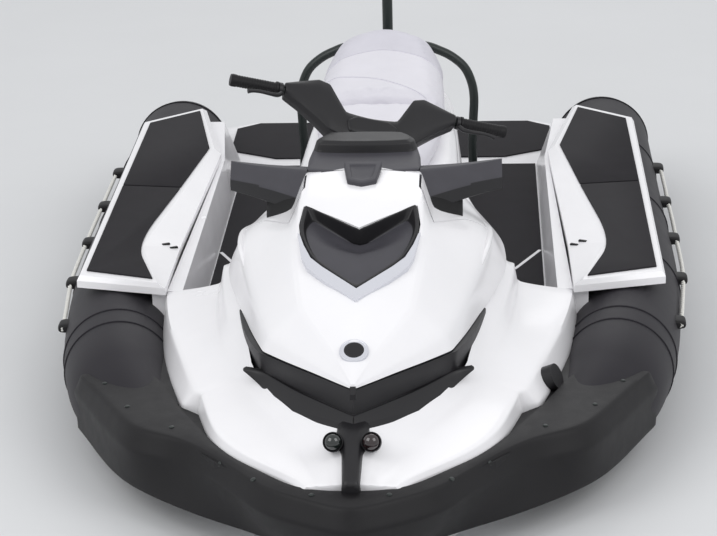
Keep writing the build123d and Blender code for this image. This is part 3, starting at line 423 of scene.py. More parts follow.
def swept(name, line, radii, finish, sides=32, close=True):
    """Round body along points in mm with a radius at each."""
    points, side = [], None
    line = [Vector(spot) for spot in line]
    for i, spot in enumerate(line):
        way = heading(line, i)
        if side is None:
            side = way.cross(Vector((0, 0, 1)) if abs(way.z) < 0.9 else Vector((1, 0, 0)))
        side = (side - way * side.dot(way)).normalized()
        rise = side.cross(way).normalized()
        points += [spot + side * c * radii[i] + rise * s * radii[i] for c, s in circle(sides)]
    faces = skin(len(line), sides)
    return add_piece(name, points, faces if close else faces[:-2], finish)


def tube(name, rows, steps, finish, sides, place=lambda x, y, z: (x, y, z)):
    """Round body on a smooth curve through rows of x, y, z and radius."""
    fine = smooth_path(rows, steps)
    return swept(name, [place(*row[:3]) for row in fine], [row[3] for row in fine], finish, sides)


def join(first, *others):
    """One mesh of several, so that they ride as one piece."""
    form = bmesh.new()
    form.from_mesh(first.data)
    for other in others:
        part = freeze(other) if other.modifiers else other
        start = len(form.faces)
        form.from_mesh(part.data)
        places = []
        for material in part.data.materials:
            if material.name not in first.data.materials:
                first.data.materials.append(material)
            places.append(first.data.materials.find(material.name))
        form.faces.ensure_lookup_table()
        for face in form.faces[start:]:
            face.material_index = places[face.material_index]
        bpy.data.objects.remove(part)
    form.to_mesh(first.data)
    form.free()
    return first


def gather(name, pieces, body="craft", nodes=(), finish=None):
    """Joins like pieces under one name and settles them."""
    first = join(*pieces)
    first.name = name
    return settle(first, body, nodes, finish)


def two_tone(piece, finish, chosen):
    """Gives the chosen faces of a piece a second finish."""
    piece.data.materials.append(MATERIALS[finish])
    for face in piece.data.polygons:
        face.material_index = int(chosen(face))


# Bow deck: columns y, edge x, edge z, bevel x, bevel z, valley x, valley z, crown x, crown z, rim x, rim z
DECK_TABLE = [
    (-1621, 122, 247, 106, 258, 81, 260, 43, 263, 12, 265),
    (-1576, 142, 247, 128, 259, 90, 262, 50, 270, 14, 284),
    (-1480, 251, 247, 239, 267, 117, 273, 62, 300, 17, 336),
    (-1407, 316, 247, 303, 271, 151, 287, 101, 318, 60, 345),
    (-1325, 363, 247, 350, 276, 191, 297, 160, 330, 100, 360),
    (-1230, 389, 247, 379, 284, 256, 310, 222, 334, 160, 392),
    (-1133, 413, 247, 403, 289, 306, 321, 267, 341, 228, 424),
    (-1112, 416, 247, 407, 290, 318, 324, 276, 350, 236, 424),
    (-1090, 461, 247, 424, 291, 330, 326, 286, 358, 250, 424),
    (-930, 506, 246, 471, 305, 386, 350, 339, 393, 299, 424),
    (-660, 564, 240, 546, 319, 406, 350, 393, 398, 359, 424),
    (-440, 581, 240, 571, 325, 416, 347, 406, 403, 377, 424),
]
BIN_HALF = [(0, -1190), (150, -1120), (215, -900), (215, -770)]
BIN_FLOOR_Z = 215
DECK_FOOT_Z = 168
TOOL_TOP_Z = 500


def bow_deck_piece():
    rings = []
    for row in DECK_TABLE:
        half = [(0, DECK_FOOT_Z), (row[1], DECK_FOOT_Z), *zip(row[1::2], row[2::2]), (0, row[-1] + 1)]
        rings.append(mirrored_ring(row[0], half))
    creases = mirrored_creases({1: 1.0, 2: 0.9, 3: 0.8, 4: 0.45, 5: 0.75, 6: 0.8}, 8)
    corners = {2: 0.25, 6: 0.35, 7: 0.55, 8: 0.45}
    deck = freeze(cage("bow_deck_shell", rings, "gelcoat_white", creases, corners, levels=3, ends=0.9))
    carve(deck, prism("bin_tool", mirrored(BIN_HALF), BIN_FLOOR_Z, TOOL_TOP_Z))
    seat = [row[:2] for row in BAND] + [row[6:] for row in reversed(BAND)]
    carve(deck, prism("band_seat", mirrored(seat), BAND_FOOT_Z - 6, TOOL_TOP_Z))
    settle(deck, nodes=("bow_deck",))


class WATERCRAFT_OT_bow_deck(bpy.types.Operator):
    """Model the moulded bow deck with its storage bin"""
    bl_idname = "watercraft.bow_deck"
    bl_label = "Bow deck"

    def execute(self, context):
        bow_deck_piece()
        return {"FINISHED"}


# Lid and upper body in one form: columns y, rim x, shoulder x and z, foot of the raised middle x and z,
# crest x and z, ridge z
UPPER_TABLE = [
    (-1424, 8, 7, 436, 6, 437, 4, 440, 441),
    (-1372, 58, 52, 442, 34, 456, 28, 462, 470),
    (-1320, 104, 96, 448, 62, 478, 52, 486, 502),
    (-1248, 176, 162, 458, 106, 511, 96, 518, 543),
    (-1176, 238, 221, 470, 148, 539, 134, 549, 580),
    (-1050, 276, 258, 492, 168, 602, 152, 612, 632),
    (-930, 304, 288, 513, 182, 640, 160, 662, 678),
    (-840, 328, 306, 535, 188, 654, 161, 696, 708),
    (-690, 362, 334, 558, 187, 660, 157, 734, 745),
    (-560, 383, 342, 545, 186, 650, 151, 726, 741),
    (-430, 381, 326, 516, 178, 606, 146, 676, 695),
    (-300, 374, 288, 524, 166, 574, 141, 604, 625),
    (-110, 320, 254, 503, 152, 534, 131, 549, 564),
]
# How sharply the form turns at the stations that carry the corners of its plan
NOSE_CORNERS = {4: 0.7, 12: 0.8}
LID_Z = 430.0
LID_WALL = 20.0
RIM_Z = 424.0
# Rear edge of the lid from the latch outwards, and a column wide, long and high enough to cover its plan
LID_REAR = [(150, -645), (150, -735), (190, -826), (272, -640), (345, -545), (700, -545)]
COLUMN_X, COLUMN_Y, COLUMN_Z = 700, -1800, 1300


def upper_half(row, foot_z, inset=0.0):
    """Half outline of the form at one station, from the rim to the ridge, drawn in by a wall."""
    _, rx, sx, sz, fx, fz, cx, cz, tz = row
    half = [(rx, foot_z), (sx, sz), (fx, fz), (cx, cz), (cx * 0.5, cz * 0.3 + tz * 0.7), (0, tz)]
    if not inset:
        return half
    return [(max(x - inset, 1.5 - 0.2 * k) if x else 0, foot_z if k == 0 else max(z - inset, foot_z + 0.4 * k))
            for k, (x, z) in enumerate(half)]


def lid_shell():
    """The same form as an open shell, its section running over the outside and back along the inside."""
    rings = []
    for row in UPPER_TABLE:
        outer, inner = mirrored(upper_half(row, LID_Z)), mirrored(upper_half(row, LID_Z, LID_WALL))
        rings.append([(x, row[0], z) for x, z in outer + [(-x, z) for x, z in inner]])
    n = len(rings[0])
    creases = {0: 1.0, n // 2 - 1: 1.0, n // 2: 1.0, n - 1: 1.0}
    for place, value in ((1, 0.4), (2, 0.6), (3, 0.6)):
        creases[place] = creases[n // 2 - 1 - place] = value
    return freeze(cage("storage_lid_shell", rings, "gelcoat_white", creases, NOSE_CORNERS, levels=3, ends=0.8))


def lid_area(name, gap):
    """Column over the lid's plan, its rear edge moved back by a gap."""
    rear = [(x + (gap if k < 2 else 0), y + gap * (1 if k < 2 else 1.6)) for k, (x, y) in enumerate(LID_REAR)]
    half = [(0, COLUMN_Y), (COLUMN_X, COLUMN_Y)] + rear[::-1] + [(0, LID_REAR[0][1] + gap)]
    return prism(name, mirrored(half), 0, COLUMN_Z)


VENT_SLOPE = Slope(-991, 646, 20)
# Half outline of the vent from its top middle to its foot
VENT = [(0, 64), (148, 172), (157, 92), (152, 45), (139, 0), (119, -51), (88, -86), (0, -172)]
# Three rings of the scoop inside it, from the lip to the middle: x, v and depth
VENT_SCOOP = [
    [(0, 48, 50), (122, 134, 24), (141, 88, 13), (136, 44, 10), (125, 2, 8), (107, -44, 8), (79, -77, 8), (0, -152, 8)],
    [(0, 26, 50), (70, 60, 38), (98, 52, 22), (98, 30, 15), (92, 0, 12), (78, -34, 11), (56, -58, 10), (0, -116, 9)],
    [(0, 2, 36), (34, 12, 30), (50, 10, 24), (50, 0, 20), (46, -12, 16), (38, -28, 14), (26, -40, 13), (0, -70, 12)],
]
# Side outline of the arm at the lid's nose, y and z, and its half width
LID_ARM_HALF = 7
LID_ARM = [(-1441, 406), (-1441, 420), (-1420, 438), (-1390, 438), (-1398, 428), (-1424, 406)]
# Silver strip under the vent: outer and inner edge from the port tip to the middle
TRIM_OUTER = [(158, 48), (143, -51), (127, -92), (80, -147), (0, -220)]
TRIM_INNER = [(152, 44), (140, 0), (120, -51), (89, -87), (0, -173)]
BADGE_SLOPE = Slope(-1331, 490, 28)
# Silver ring and dark disc of the badge: height and radius
BADGE_RING = [(-20, 37), (1.5, 37), (4.2, 35.6), (4.6, 34), (3.4, 32), (3.0, 31), (4.4, 27), (5.0, 18), (5.2, 6)]
BADGE_DISC = [(2.0, 26), (5.4, 25), (6.0, 22), (6.2, 6)]


def lid_piece():
    lid = lid_shell()
    carve(lid, lid_area("lid_tool", 0), "INTERSECT")
    carve(lid, block_on("vent_tool", VENT_SLOPE, mirrored(VENT), -60, 60, "gelcoat_white"))
    near, far = ([(x, y, z) for y, z in LID_ARM] for x in (-LID_ARM_HALF, LID_ARM_HALF))
    join(lid, slab("lid_arm", near, far, "plastic_black"))
    lid.data.set_sharp_from_angle(angle=math.radians(SHARP))
    settle(lid, "lid", ("storage_lid",))


def vent_piece():
    """Insert: a narrow black lip round a scoop, deep under its notched top and nearly flush at its foot."""
    rim = mirrored([(x, v, 0) for x, v in VENT])
    rows = [(rim, 0.99, -44), (rim, 0.99, -1), (rim, 0.97, 2), (rim, 0.93, 1)]
    lip = len(rows)
    rows += [(mirrored(ring), 1.0, 0) for ring in VENT_SCOOP]
    rings = [[VENT_SLOPE.at(x * k, v * k, lift - deep) for x, v, deep in outline] for outline, k, lift in rows]
    n = len(rim)
    piece = cage("vent_insert", rings, "plastic_grey", {k: 0.9 for k in (0, 1, 7, n - 1)},
                 {1: 0.9, 2: 0.7, 3: 0.8, 4: 0.5, 6: 0.0}, levels=3, until=lip)
    two_tone(piece, "plastic_black", lambda face: min(face.vertices) < lip * n)
    settle(piece, "lid", ("lid_vent",))


def lid_fittings():
    """Silver V under the vent and the plain round badge."""
    trim = block_on("vent_trim", VENT_SLOPE, mirrored(TRIM_OUTER) + mirrored(TRIM_INNER)[::-1], -20, 3, "silver_trim")
    ring = turned("bow_badge", BADGE_SLOPE.at, BADGE_RING, "silver_trim")
    disc = turned("badge_disc", BADGE_SLOPE.at, BADGE_DISC, "plastic_black")
    gather("vent_trim", [soften(trim, 2.2, 2), ring, disc], "lid", ("lid_trim",))


class WATERCRAFT_OT_lid(bpy.types.Operator):
    """Model the storage lid with its vent, trim and badge"""
    bl_idname = "watercraft.lid"
    bl_label = "Storage lid"

    def execute(self, context):
        lid_piece()
        vent_piece()
        lid_fittings()
        return {"FINISHED"}


# Outline of the glove box lid on its slope, ahead of its hinge, and the share of its width and length that is open
GLOVE_SLOPE = Slope(-125, 578, -17.5)
GLOVE_OUTLINE = [(-78, 4), (78, 4), (70, -118), (-70, -118)]
POCKET_SHARE = (0.87, 0.84)
# Raised rim along the outer shoulder beside each footwell: x, y, z, radius
WELL_RIM = [(312, -800, 524, 4), (329, -700, 544, 9), (334, -560, 534, 11), (319, -430, 507, 11), (290, -330, 500, 6)]
# Boot round the stem: height along it, radius
NECK_ROWS = [(-312, 66), (-262, 62), (-244, 56), (-232, 58), (-220, 50), (-209, 52), (-206, 46), (-206, 30)]


def glove_pocket_tool():
    wide, long = POCKET_SHARE
    outline = [(x * wide, -57 + (v + 57) * long) for x, v in GLOVE_OUTLINE]
    return block_on("pocket_tool", GLOVE_SLOPE, outline, -75, 60, "gelcoat_white")


def upper_body_piece():
    rings = [mirrored_ring(row[0], [(0, RIM_Z)] + upper_half(row, RIM_Z)) for row in UPPER_TABLE]
    creases = mirrored_creases({1: 1.0, 2: 0.4, 3: 0.6, 4: 0.6}, 7)
    body = freeze(cage("upper_body_shell", rings, "gelcoat_white", creases, NOSE_CORNERS, levels=3, ends=0.8))
    carve(body, lid_area("split_tool", sizes().shut_line / MM))
    carve(body, glove_pocket_tool())
    settle(body, nodes=("upper_body",))
    seat = block_on("glove_seat", GLOVE_SLOPE, GLOVE_OUTLINE, -45, -5.4, "gelcoat_white")
    carve(seat, glove_pocket_tool())
    settle(soften(seat, 1.5, 2), finish="gelcoat_white")
    rims = [tube("rim", WELL_RIM, 8, "gelcoat_white", 16, lambda x, y, z: (sign * x, y, z)) for sign in (-1, 1)]
    gather("well_rims", rims, finish="gelcoat_white")
    neck = turned("steering_neck", lambda x, ahead, up: steer(x, up, ahead), NECK_ROWS, "shadow_plastic")
    settle(neck, finish="plastic_black")


class WATERCRAFT_OT_upper_body(bpy.types.Operator):
    """Model the upper body behind the lid"""
    bl_idname = "watercraft.upper_body"
    bl_label = "Upper body"

    def execute(self, context):
        upper_body_piece()
        return {"FINISHED"}


# Black band under the lid, from the nose aft: outlines of its foot, of the crease above its lip, of its head and
# of its inner side, each as x, y
BAND = [
    (0, -1490, 0, -1424, 0, -1432, 0, -1370),
    (50, -1440, 50, -1370, 50, -1382, 48, -1320),
    (94, -1396, 92, -1323, 103, -1326, 90, -1264),
    (156, -1326, 147, -1264, 160, -1270, 134, -1210),
    (208, -1244, 198, -1202, 222, -1204, 190, -1160),
    (243, -1176, 238, -1160, 250, -1172, 208, -1130),
    (276, -1096, 270, -1088, 280, -1098, 226, -1090),
    (296, -1000, 294, -1000, 302, -1008, 262, -990),
    (311, -930, 311, -930, 315, -930, 290, -926),
    (322, -866, 322, -866, 324, -866, 316, -862),
]
BAND_FOOT_Z = 326.0
BAND_LIP_Z = 360.0
BAND_HEAD_Z = 427.0


def band_ring(sign, row):
    fx, fy, cx, cy, hx, hy, ix, iy = row
    under = BAND_FOOT_Z - 8
    return [(sign * fx, fy, BAND_FOOT_Z), (sign * cx, cy, BAND_LIP_Z), (sign * hx, hy, BAND_HEAD_Z),
            (sign * ix, iy, BAND_HEAD_Z), (sign * ix, iy, under), (sign * max(fx - 8, 0), fy + 12, under)]


def band_piece():
    middle = len(BAND) - 1
    corners = {middle: 0.9, **{middle + k: 0.7 for k in (-5, -4, 4, 5)}}
    creases = {0: 0.9, 1: 0.9, 2: 0.9, 3: 1.0, 4: 1.0, 5: 0.8}
    band = freeze(cage("bow_band", across(band_ring, BAND), "plastic_black", creases, corners))
    join(band, band_lip(1), band_lip(-1))
    band.data.set_sharp_from_angle(angle=math.radians(SHARP))
    settle(band, nodes=("front_grille",))


# Lip along the band's foot, from the nose to its blade: x, y of its crease; x, y of its foot; crease z; foot z
LIP = [
    (0, -1434, 0, -1506, 360, 310), (50, -1382, 52, -1456, 360, 310), (95, -1334, 96, -1413, 360, 312),
    (152, -1273, 161, -1338, 361, 314), (198, -1212, 211, -1250, 363, 326), (232, -1172, 246, -1183, 368, 336),
    (254, -1154, 262, -1162, 370, 344), (292, -1144, 292, -1148, 372, 366),
]
# Post from the band down the nose: y, top z, foot z, half width at its top and at its foot
POST = [
    (-1400, 340, 300, 40, 56), (-1440, 348, 300, 39, 50), (-1478, 348, 290, 38, 44), (-1512, 338, 282, 32, 36),
    (-1532, 326, 274, 24, 28), (-1600, 300, 254, 21, 24), (-1646, 276, 232, 20, 23),
]


def band_lip(sign):
    """Lip along the foot of the band, which ends in a narrow blade beside its corner."""
    rings = [[(sign * fx, fy, foot), (sign * (cx + 1), cy - 2, top - 3), (sign * cx, cy + 2, top),
              (sign * (cx - 6), cy + 16, top - 1), (sign * (cx - 6), cy + 18, foot)]
             for cx, cy, fx, fy, top, foot in LIP]
    return freeze(cage("band_lip", rings, "plastic_black", {0: 0.9, 1: 0.5, 2: 0.7, 3: 0.9, 4: 0.9}, {4: 0.6}))


def post_piece():
    """Post down the nose, wider where it leaves the band."""
    rings = [[(-foot_half, y, foot), (-half, y, top - 8), (-half * 0.7, y, top), (half * 0.7, y, top),
              (half, y, top - 8), (foot_half, y, foot)] for y, top, foot, half, foot_half in POST]
    creases = {0: 1.0, 1: 0.4, 2: 0.6, 3: 0.6, 4: 0.4, 5: 1.0}
    post = cage("bow_post_cover", rings, "plastic_black", creases, {2: 0.3, 4: 0.5})
    settle(post, nodes=("bow_post",))


# Profiles of a bow lamp's bezel and lens: distance along its axis, and radius
LAMP_BEZEL = [(0, 24), (50, 25), (56, 24.6), (57, 23), (54, 22)]
LAMP_LENS = [(30, 21.8), (54, 21.8), (62, 18), (68, 11), (70, 3)]
LAMP_SPOT = (46, -1480, 312)
LAMP_AXIS = Vector((0, -66, 30)).normalized()


def bow_light(sign, lens, node):
    """Round lamp beside the post: a dark lens in a thin black bezel."""
    x, y, z = LAMP_SPOT
    start, side = Vector((sign * x, y, z)), Vector((1, 0, 0))
    rise = side.cross(LAMP_AXIS)

    def place(a, b, along):
        return start + LAMP_AXIS * along + side * a + rise * b
    settle(turned("bow_lamp_bezel_" + node[-4:], place, LAMP_BEZEL, "plastic_black", 32), finish="plastic_black")
    settle(turned("bow_lamp_lens_" + node[-4:], place, LAMP_LENS, lens, 32, 2), nodes=(node,))


class WATERCRAFT_OT_bow_fittings(bpy.types.Operator):
    """Model the black band, the nose post and the navigation lamps"""
    bl_idname = "watercraft.bow_fittings"
    bl_label = "Band, post and lamps"

    def execute(self, context):
        band_piece()
        post_piece()
        bow_light(1, "lens_red", "bow_light_port")
        bow_light(-1, "lens_green", "bow_light_starboard")
        return {"FINISHED"}


# Bow fender from nose to rear: foot x, y; crease x, y; top outer x, y; top inner x, y
FENDER = [
    (0, -1692, 0, -1768, 0, -1742, 0, -1632),
    (70, -1650, 104, -1706, 100, -1676, 80, -1628),
    (132, -1602, 210, -1642, 202, -1614, 150, -1600),
    (205, -1545, 276, -1548, 266, -1524, 235, -1500),
    (274, -1492, 334, -1457, 324, -1440, 300, -1435),
    (381, -1422, 402, -1364, 394, -1352, 362, -1330),
    (495, -1324, 468, -1314, 460, -1292, 408, -1230),
    (583, -1238, 577, -1274, 567, -1242, 480, -1080),
    (654, -1132, 642, -1152, 627, -1127, 520, -960),
    (727, -960, 726, -968, 707, -962, 560, -880),
    (778, -848, 778, -858, 756, -866, 590, -850),
]
# Heights of its foot, flank, crease, outer top edge, crown, inner top edge and inner foot
FENDER_Z = (84, 140, 196, 248, 253, 252, 84)


def fender_ring(sign, row):
    fx, fy, cx, cy, tx, ty, ix, iy = row
    side = [(fx, fy), (fx * 0.35 + cx * 0.65, fy * 0.35 + cy * 0.65), (cx, cy), (tx, ty),
            ((tx + ix) / 2, (ty + iy) / 2), (ix, iy), (ix, iy)]
    return [(sign * x, y, z) for (x, y), z in zip(side, FENDER_Z)]


# Places of the fender's screws on the port side: x, y
SCREWS = [(92, -1652), (238, -1556), (330, -1440), (470, -1240), (600, -1100), (680, -940)]


def fender_piece():
    creases = {0: 0.7, 2: 0.55, 3: 0.5, 5: 1.0, 6: 1.0}
    fender = cage("bow_fender_moulding", across(fender_ring, FENDER), "rubber_black", creases, levels=3, ends=0.6)
    settle(fender, nodes=("bow_fender",))
    freeze(fender)
    heads = []
    for x, y in (spot for screw in SCREWS for spot in ((-screw[0], screw[1]), screw)):
        found, spot, normal, _ = fender.ray_cast(Vector((x, y, 600)) * MM, Vector((0, 0, -1)))
        if found:
            heads.append(dome("fender_screw", spot / MM, normal, 7.0, 3.0, "steel_dark"))
    gather("fender_screws", heads, finish="steel_dark")


def dome(name, spot, normal, r, height, finish):
    """Low round head standing on a surface."""
    way = Vector(normal).normalized()
    side = way.orthogonal().normalized()
    rise = way.cross(side)
    rows = ((-2.0, 1.0), (0.35 * height, 1.0), (0.85 * height, 0.75), (height, 0.3))
    points = [spot + way * t + (side * c + rise * s) * r * k for t, k in rows for c, s in circle(16)]
    return add_piece(name, points, skin(len(rows), 16), finish)


class WATERCRAFT_OT_fender(bpy.types.Operator):
    """Model the bow fender and its screws"""
    bl_idname = "watercraft.fender"
    bl_label = "Bow fender"

    def execute(self, context):
        fender_piece()
        return {"FINISHED"}


# Collar centreline from the bow to the stern: x, y, z and radius
TUBE_PATH = [
    (470, -1150, 146, 60), (560, -1010, 150, 92), (638, -850, 156, 130), (676, -700, 165, 146), (712, -400, 165, 157),
    (735, 20, 165, 161), (735, 700, 165, 161), (735, 1490, 165, 161),
]
DOME_LENGTH = 150.0
COLLAR_RADIUS = 161
# Places along the collar of the seams round it, and the thickness of their bead
SEAMS_Y = (-640, -560, -60, 480, 1000, 1470, 1500)
SEAM_WIRE = 2.6


def collar_line(sign):
    """Centreline and radii of a tube, with a dome at its stern end."""
    path = smooth_path(TUBE_PATH, 10)
    line, radii = [Vector((sign * x, y, z)) for x, y, z, _ in path], [row[3] for row in path]
    end = line[-1]
    for step in range(1, 11):
        turn = math.radians(88 * step / 10)
        line.append(end + Vector((0, DOME_LENGTH * math.sin(turn), 0)))
        radii.append(COLLAR_RADIUS * math.cos(turn))
    return line, radii


def collar_piece(sign, side_name):
    line, radii = collar_line(sign)
    settle(swept("collar_tube_" + side_name, line, radii, "fabric_grey", 64), nodes=("collar_" + side_name,))
    seams = []
    for y in SEAMS_Y:
        i = min(range(len(line)), key=lambda k: abs(line[k].y - y))
        hoop = hoop_line(line[i], heading(line, i), radii[i] + 0.8)
        seams.append(swept("seam", hoop, [SEAM_WIRE] * len(hoop), "fabric_grey", 8, False))
    gather("collar_seams_" + side_name, seams, finish="fabric_grey")


def hoop_line(spot, way, r):
    """Closed circle of points round a centre, square to way."""
    side = way.cross(Vector((0, 0, 1))).normalized()
    rise = side.cross(way)
    hoop = [spot + (side * c + rise * s) * r for c, s in circle(72)]
    return hoop + hoop[:1]


class WATERCRAFT_OT_collar(bpy.types.Operator):
    """Model the two air tubes with their seams"""
    bl_idname = "watercraft.collar"
    bl_label = "Collar"

    def execute(self, context):
        collar_piece(1, "port")
        collar_piece(-1, "starboard")
        return {"FINISHED"}


# Centre body under the seat: columns y, floor x, middle x, top x
BODY_TABLE = [
    (-444, 402, 404, 376), (-280, 372, 370, 348), (-100, 341, 336, 319), (80, 318, 306, 282), (250, 301, 286, 251),
    (520, 280, 268, 242), (800, 263, 251, 233), (1200, 246, 233, 216), (1290, 229, 213, 191),
]
# Fairing under the seat: columns y, foot x, top x
SEAT_FOOT = [(-104, 121, 106), (-20, 191, 162), (120, 222, 192), (250, 247, 213), (520, 240, 214), (800, 231, 213),
             (1190, 205, 162), (1240, 151, 122)]
# Heights of the centre body's foot, skirt, middle, shoulder and top, and of the fairing's foot, side, rim and top
BODY_Z = (165, 175, 320, 404, 424)
FAIRING_Z = (410, 430, 466, 471)


def centre_body_piece():
    foot, skirt, middle, shoulder, top = BODY_Z
    rings = [mirrored_ring(y, [(0, foot), (floor_x + 10, foot), (floor_x, skirt), (mid_x, middle),
                               (top_x + 6, shoulder), (top_x - 10, top), (0, top)])
             for y, floor_x, mid_x, top_x in BODY_TABLE]
    creases = mirrored_creases({1: 1.0, 2: 0.3, 3: 0.2, 4: 0.4, 5: 0.4}, 7)
    settle(cage("centre_body", rings, "gelcoat_white", creases, ends=0.7), nodes=("pedestal",))
    foot, side, rim, top = FAIRING_Z
    rings = [mirrored_ring(y, [(0, foot), (foot_x + 4, foot), (foot_x, side), (top_x + 4, rim), (top_x - 8, top),
                               (0, top)]) for y, foot_x, top_x in SEAT_FOOT]
    creases = mirrored_creases({1: 0.9, 3: 0.5, 4: 0.5}, 6)
    settle(cage("seat_fairing", rings, "gelcoat_white", creases, ends=0.6), finish="gelcoat_white")


class WATERCRAFT_OT_centre_body(bpy.types.Operator):
    """Model the centre body and the fairing under the seat"""
    bl_idname = "watercraft.centre_body"
    bl_label = "Centre body"

    def execute(self, context):
        centre_body_piece()
        return {"FINISHED"}


# Grab hoop, port half from its foot to the middle: x, z
HOOP_HALF = [(287, 165), (286, 215), (285, 262), (289, 345), (292, 420), (284, 474), (262, 524), (224, 560),
             (180, 584), (120, 603), (0, 606)]
HOOP_Y = 1180.0
HOOP_RADIUS = 15
# Plate under each foot of the hoop: height, radius
HOOP_FOOT = [(165, 28), (172, 28), (174, 26), (175, 18), (186, 15.5)]


def hoop_piece():
    """Bent tube over the rear of the seat, with a plate under each foot."""
    hoop = tube("grab_hoop_tube", [(x, HOOP_Y, z, HOOP_RADIUS) for x, z in mirrored(HOOP_HALF)], 8, "steel_dark", 28)
    feet = [turned("foot", lambda a, b, z: (sign * HOOP_HALF[0][0] + a, HOOP_Y + b, z), HOOP_FOOT, "steel_dark", 32)
            for sign in (-1, 1)]
    gather("grab_hoop_tube", [hoop, *feet], nodes=("grab_hoop",))


class WATERCRAFT_OT_hoop(bpy.types.Operator):
    """Model the grab hoop behind the seat"""
    bl_idname = "watercraft.hoop"
    bl_label = "Grab hoop"

    def execute(self, context):
        hoop_piece()
        return {"FINISHED"}


# Mirror housing: outlines in y, z at each x, from the front crease round underneath to the top
MIRROR_STATIONS = [
    (151, [(-714, 682), (-727, 640), (-663, 623), (-571, 641), (-552, 722), (-622, 734)]),
    (262, [(-608, 684), (-620, 646), (-578, 632), (-516, 646), (-502, 712), (-556, 722)]),
    (330, [(-544, 676), (-549, 644), (-520, 636), (-468, 644), (-456, 706), (-500, 715)]),
    (371, [(-502, 670), (-504, 640), (-480, 632), (-433, 642), (-425, 700), (-457, 710)]),
]
# Wedge that carries the housing, near black as painted shade under the mirror: outlines in y, z at its inner and outer
# end
ROOT_STATIONS = [
    (151, [(-805, 596), (-805, 664), (-716, 688), (-566, 688), (-566, 596)]),
    (264, [(-625, 562), (-625, 608), (-601, 650), (-566, 650), (-566, 562)]),
]
# Glass of the port mirror: its corners, the way it faces, and its layers as a step that way and a share of its size
GLASS = [Vector(p) for p in ((196, -509, 654), (350, -428, 668), (352, -423, 692), (198, -497, 702))]
GLASS_WAY = Vector((-0.5, 0.86, 0))
GLASS_LAYERS = [(-10, 1.0), (0.5, 1.0), (1.6, 0.985)]


def mirror_shell(name, stations, sign, creases, finish):
    rings = [[(sign * x, y, z) for y, z in outline] for x, outline in stations]
    return freeze(cage(name, rings, finish, creases, levels=3))


def mirror_parts():
    """Housings whose faces turned from the sky are black as painted shade under their grey tops, near-black wedges of
    painted shade that carry them, and flat glass on their aft faces.
    """
    middle = sum(GLASS, Vector()) / len(GLASS)
    layers = [[middle + (c - middle) * grow + GLASS_WAY * push for c in GLASS] for push, grow in GLASS_LAYERS]
    for sign, word in ((1, "port"), (-1, "starboard")):
        shell = mirror_shell("mirror_housing_" + word, MIRROR_STATIONS, sign,
                             {0: 0.95, 1: 0.95, 2: 0.7, 3: 0.9, 4: 0.9, 5: 0.6}, "plastic_grey")
        # Faces turned away from the sky take the black ABS: painted shade under the housing
        two_tone(shell, "plastic_black", lambda face: face.normal.z < 0.3)
        settle(shell, nodes=("mirrors",) if sign > 0 else (), finish="plastic_black")
        # Near-black wedge: painted shade under the mirror
        root = mirror_shell("mirror_root_" + word, ROOT_STATIONS, sign, {k: 0.8 for k in range(5)}, "shadow_plastic")
        settle(root, finish="plastic_black")
        rings = [[(sign * p.x, p.y, p.z) for p in layer] for layer in layers]
        glass = cage("mirror_glass_" + word, rings, "mirror_glass", {k: 0.7 for k in range(4)})
        settle(glass, finish="steel_bright")


class WATERCRAFT_OT_mirrors(bpy.types.Operator):
    """Model the mirror housings, their roots and glass"""
    bl_idname = "watercraft.mirrors"
    bl_label = "Mirrors"

    def execute(self, context):
        mirror_parts()
        return {"FINISHED"}


# Instrument cowl from the body up: height, and the half plan's front, corner, side and rear as x, y
CONSOLE_ROWS = [
    (640, [(0, -640), (70, -638), (146, -622), (152, -560), (149, -480), (118, -404), (0, -396)]),
    (720, [(0, -650), (74, -648), (148, -628), (153, -560), (149, -480), (118, -404), (0, -396)]),
    (736, [(0, -652), (76, -650), (149, -630), (153, -560), (148, -480), (118, -403), (0, -395)]),
    (748, [(0, -520), (74, -518), (130, -506), (143, -484), (140, -462), (113, -406), (0, -398)]),
    (770, [(0, -516), (72, -514), (124, -502), (136, -481), (132, -459), (108, -410), (0, -402)]),
    (777, [(0, -504), (66, -502), (112, -492), (122, -474), (116, -452), (94, -418), (0, -412)]),
]
# Height over which the cowl is black
LEDGE_Z = 748.5
# Slope of the screen, and the outlines of the glass and of the frame round it
SCREEN_SLOPE = Slope(-404, 742, -38)
SCREEN = [(-62, -16), (62, -16), (70, 16), (-70, 16)]
SCREEN_FRAME = [(-76, -24), (76, -24), (84, 22), (-84, 22)]


def console_piece():
    """Instrument cowl with a paler ledge along its front and a screen facing the rider."""
    rings = [[(x, y, z) for x, y in mirrored(half)] for z, half in CONSOLE_ROWS]
    creases = {2: 0.7, 10: 0.7, 5: 0.4, 7: 0.4}
    cowl = freeze(cage("console_cowl", rings, "plastic_grey", creases, {1: 0.6, 2: 0.9, 3: 0.9, 4: 0.7}, levels=3))
    two_tone(cowl, "plastic_black", lambda face: face.center.z > LEDGE_Z * MM)
    settle(cowl, nodes=("console",))
    screen = block_on("console_screen", SCREEN_SLOPE, SCREEN, -14, 1.5, "display", 2)
    settle(soften(screen, 2, 2), finish="plastic_black")
    bezel = block_on("console_bezel", SCREEN_SLOPE, SCREEN_FRAME, -18, -2, "shadow_plastic", 3)
    settle(soften(bezel, 4), finish="plastic_black")


# Half plan of the latch from the cowl's ledge to its foot, and its layers: height, share of the plan
LATCH = [(0, 50), (50, 50), (50, 36), (44, -8), (38, -50), (0, -66)]
LATCH_LAYERS = [(-8, 1.0), (9, 1.0), (12, 0.95), (12, 0.7), (9, 0.64), (8, 0.4)]
LATCH_SLOPE = Slope(-690, 741, 12)


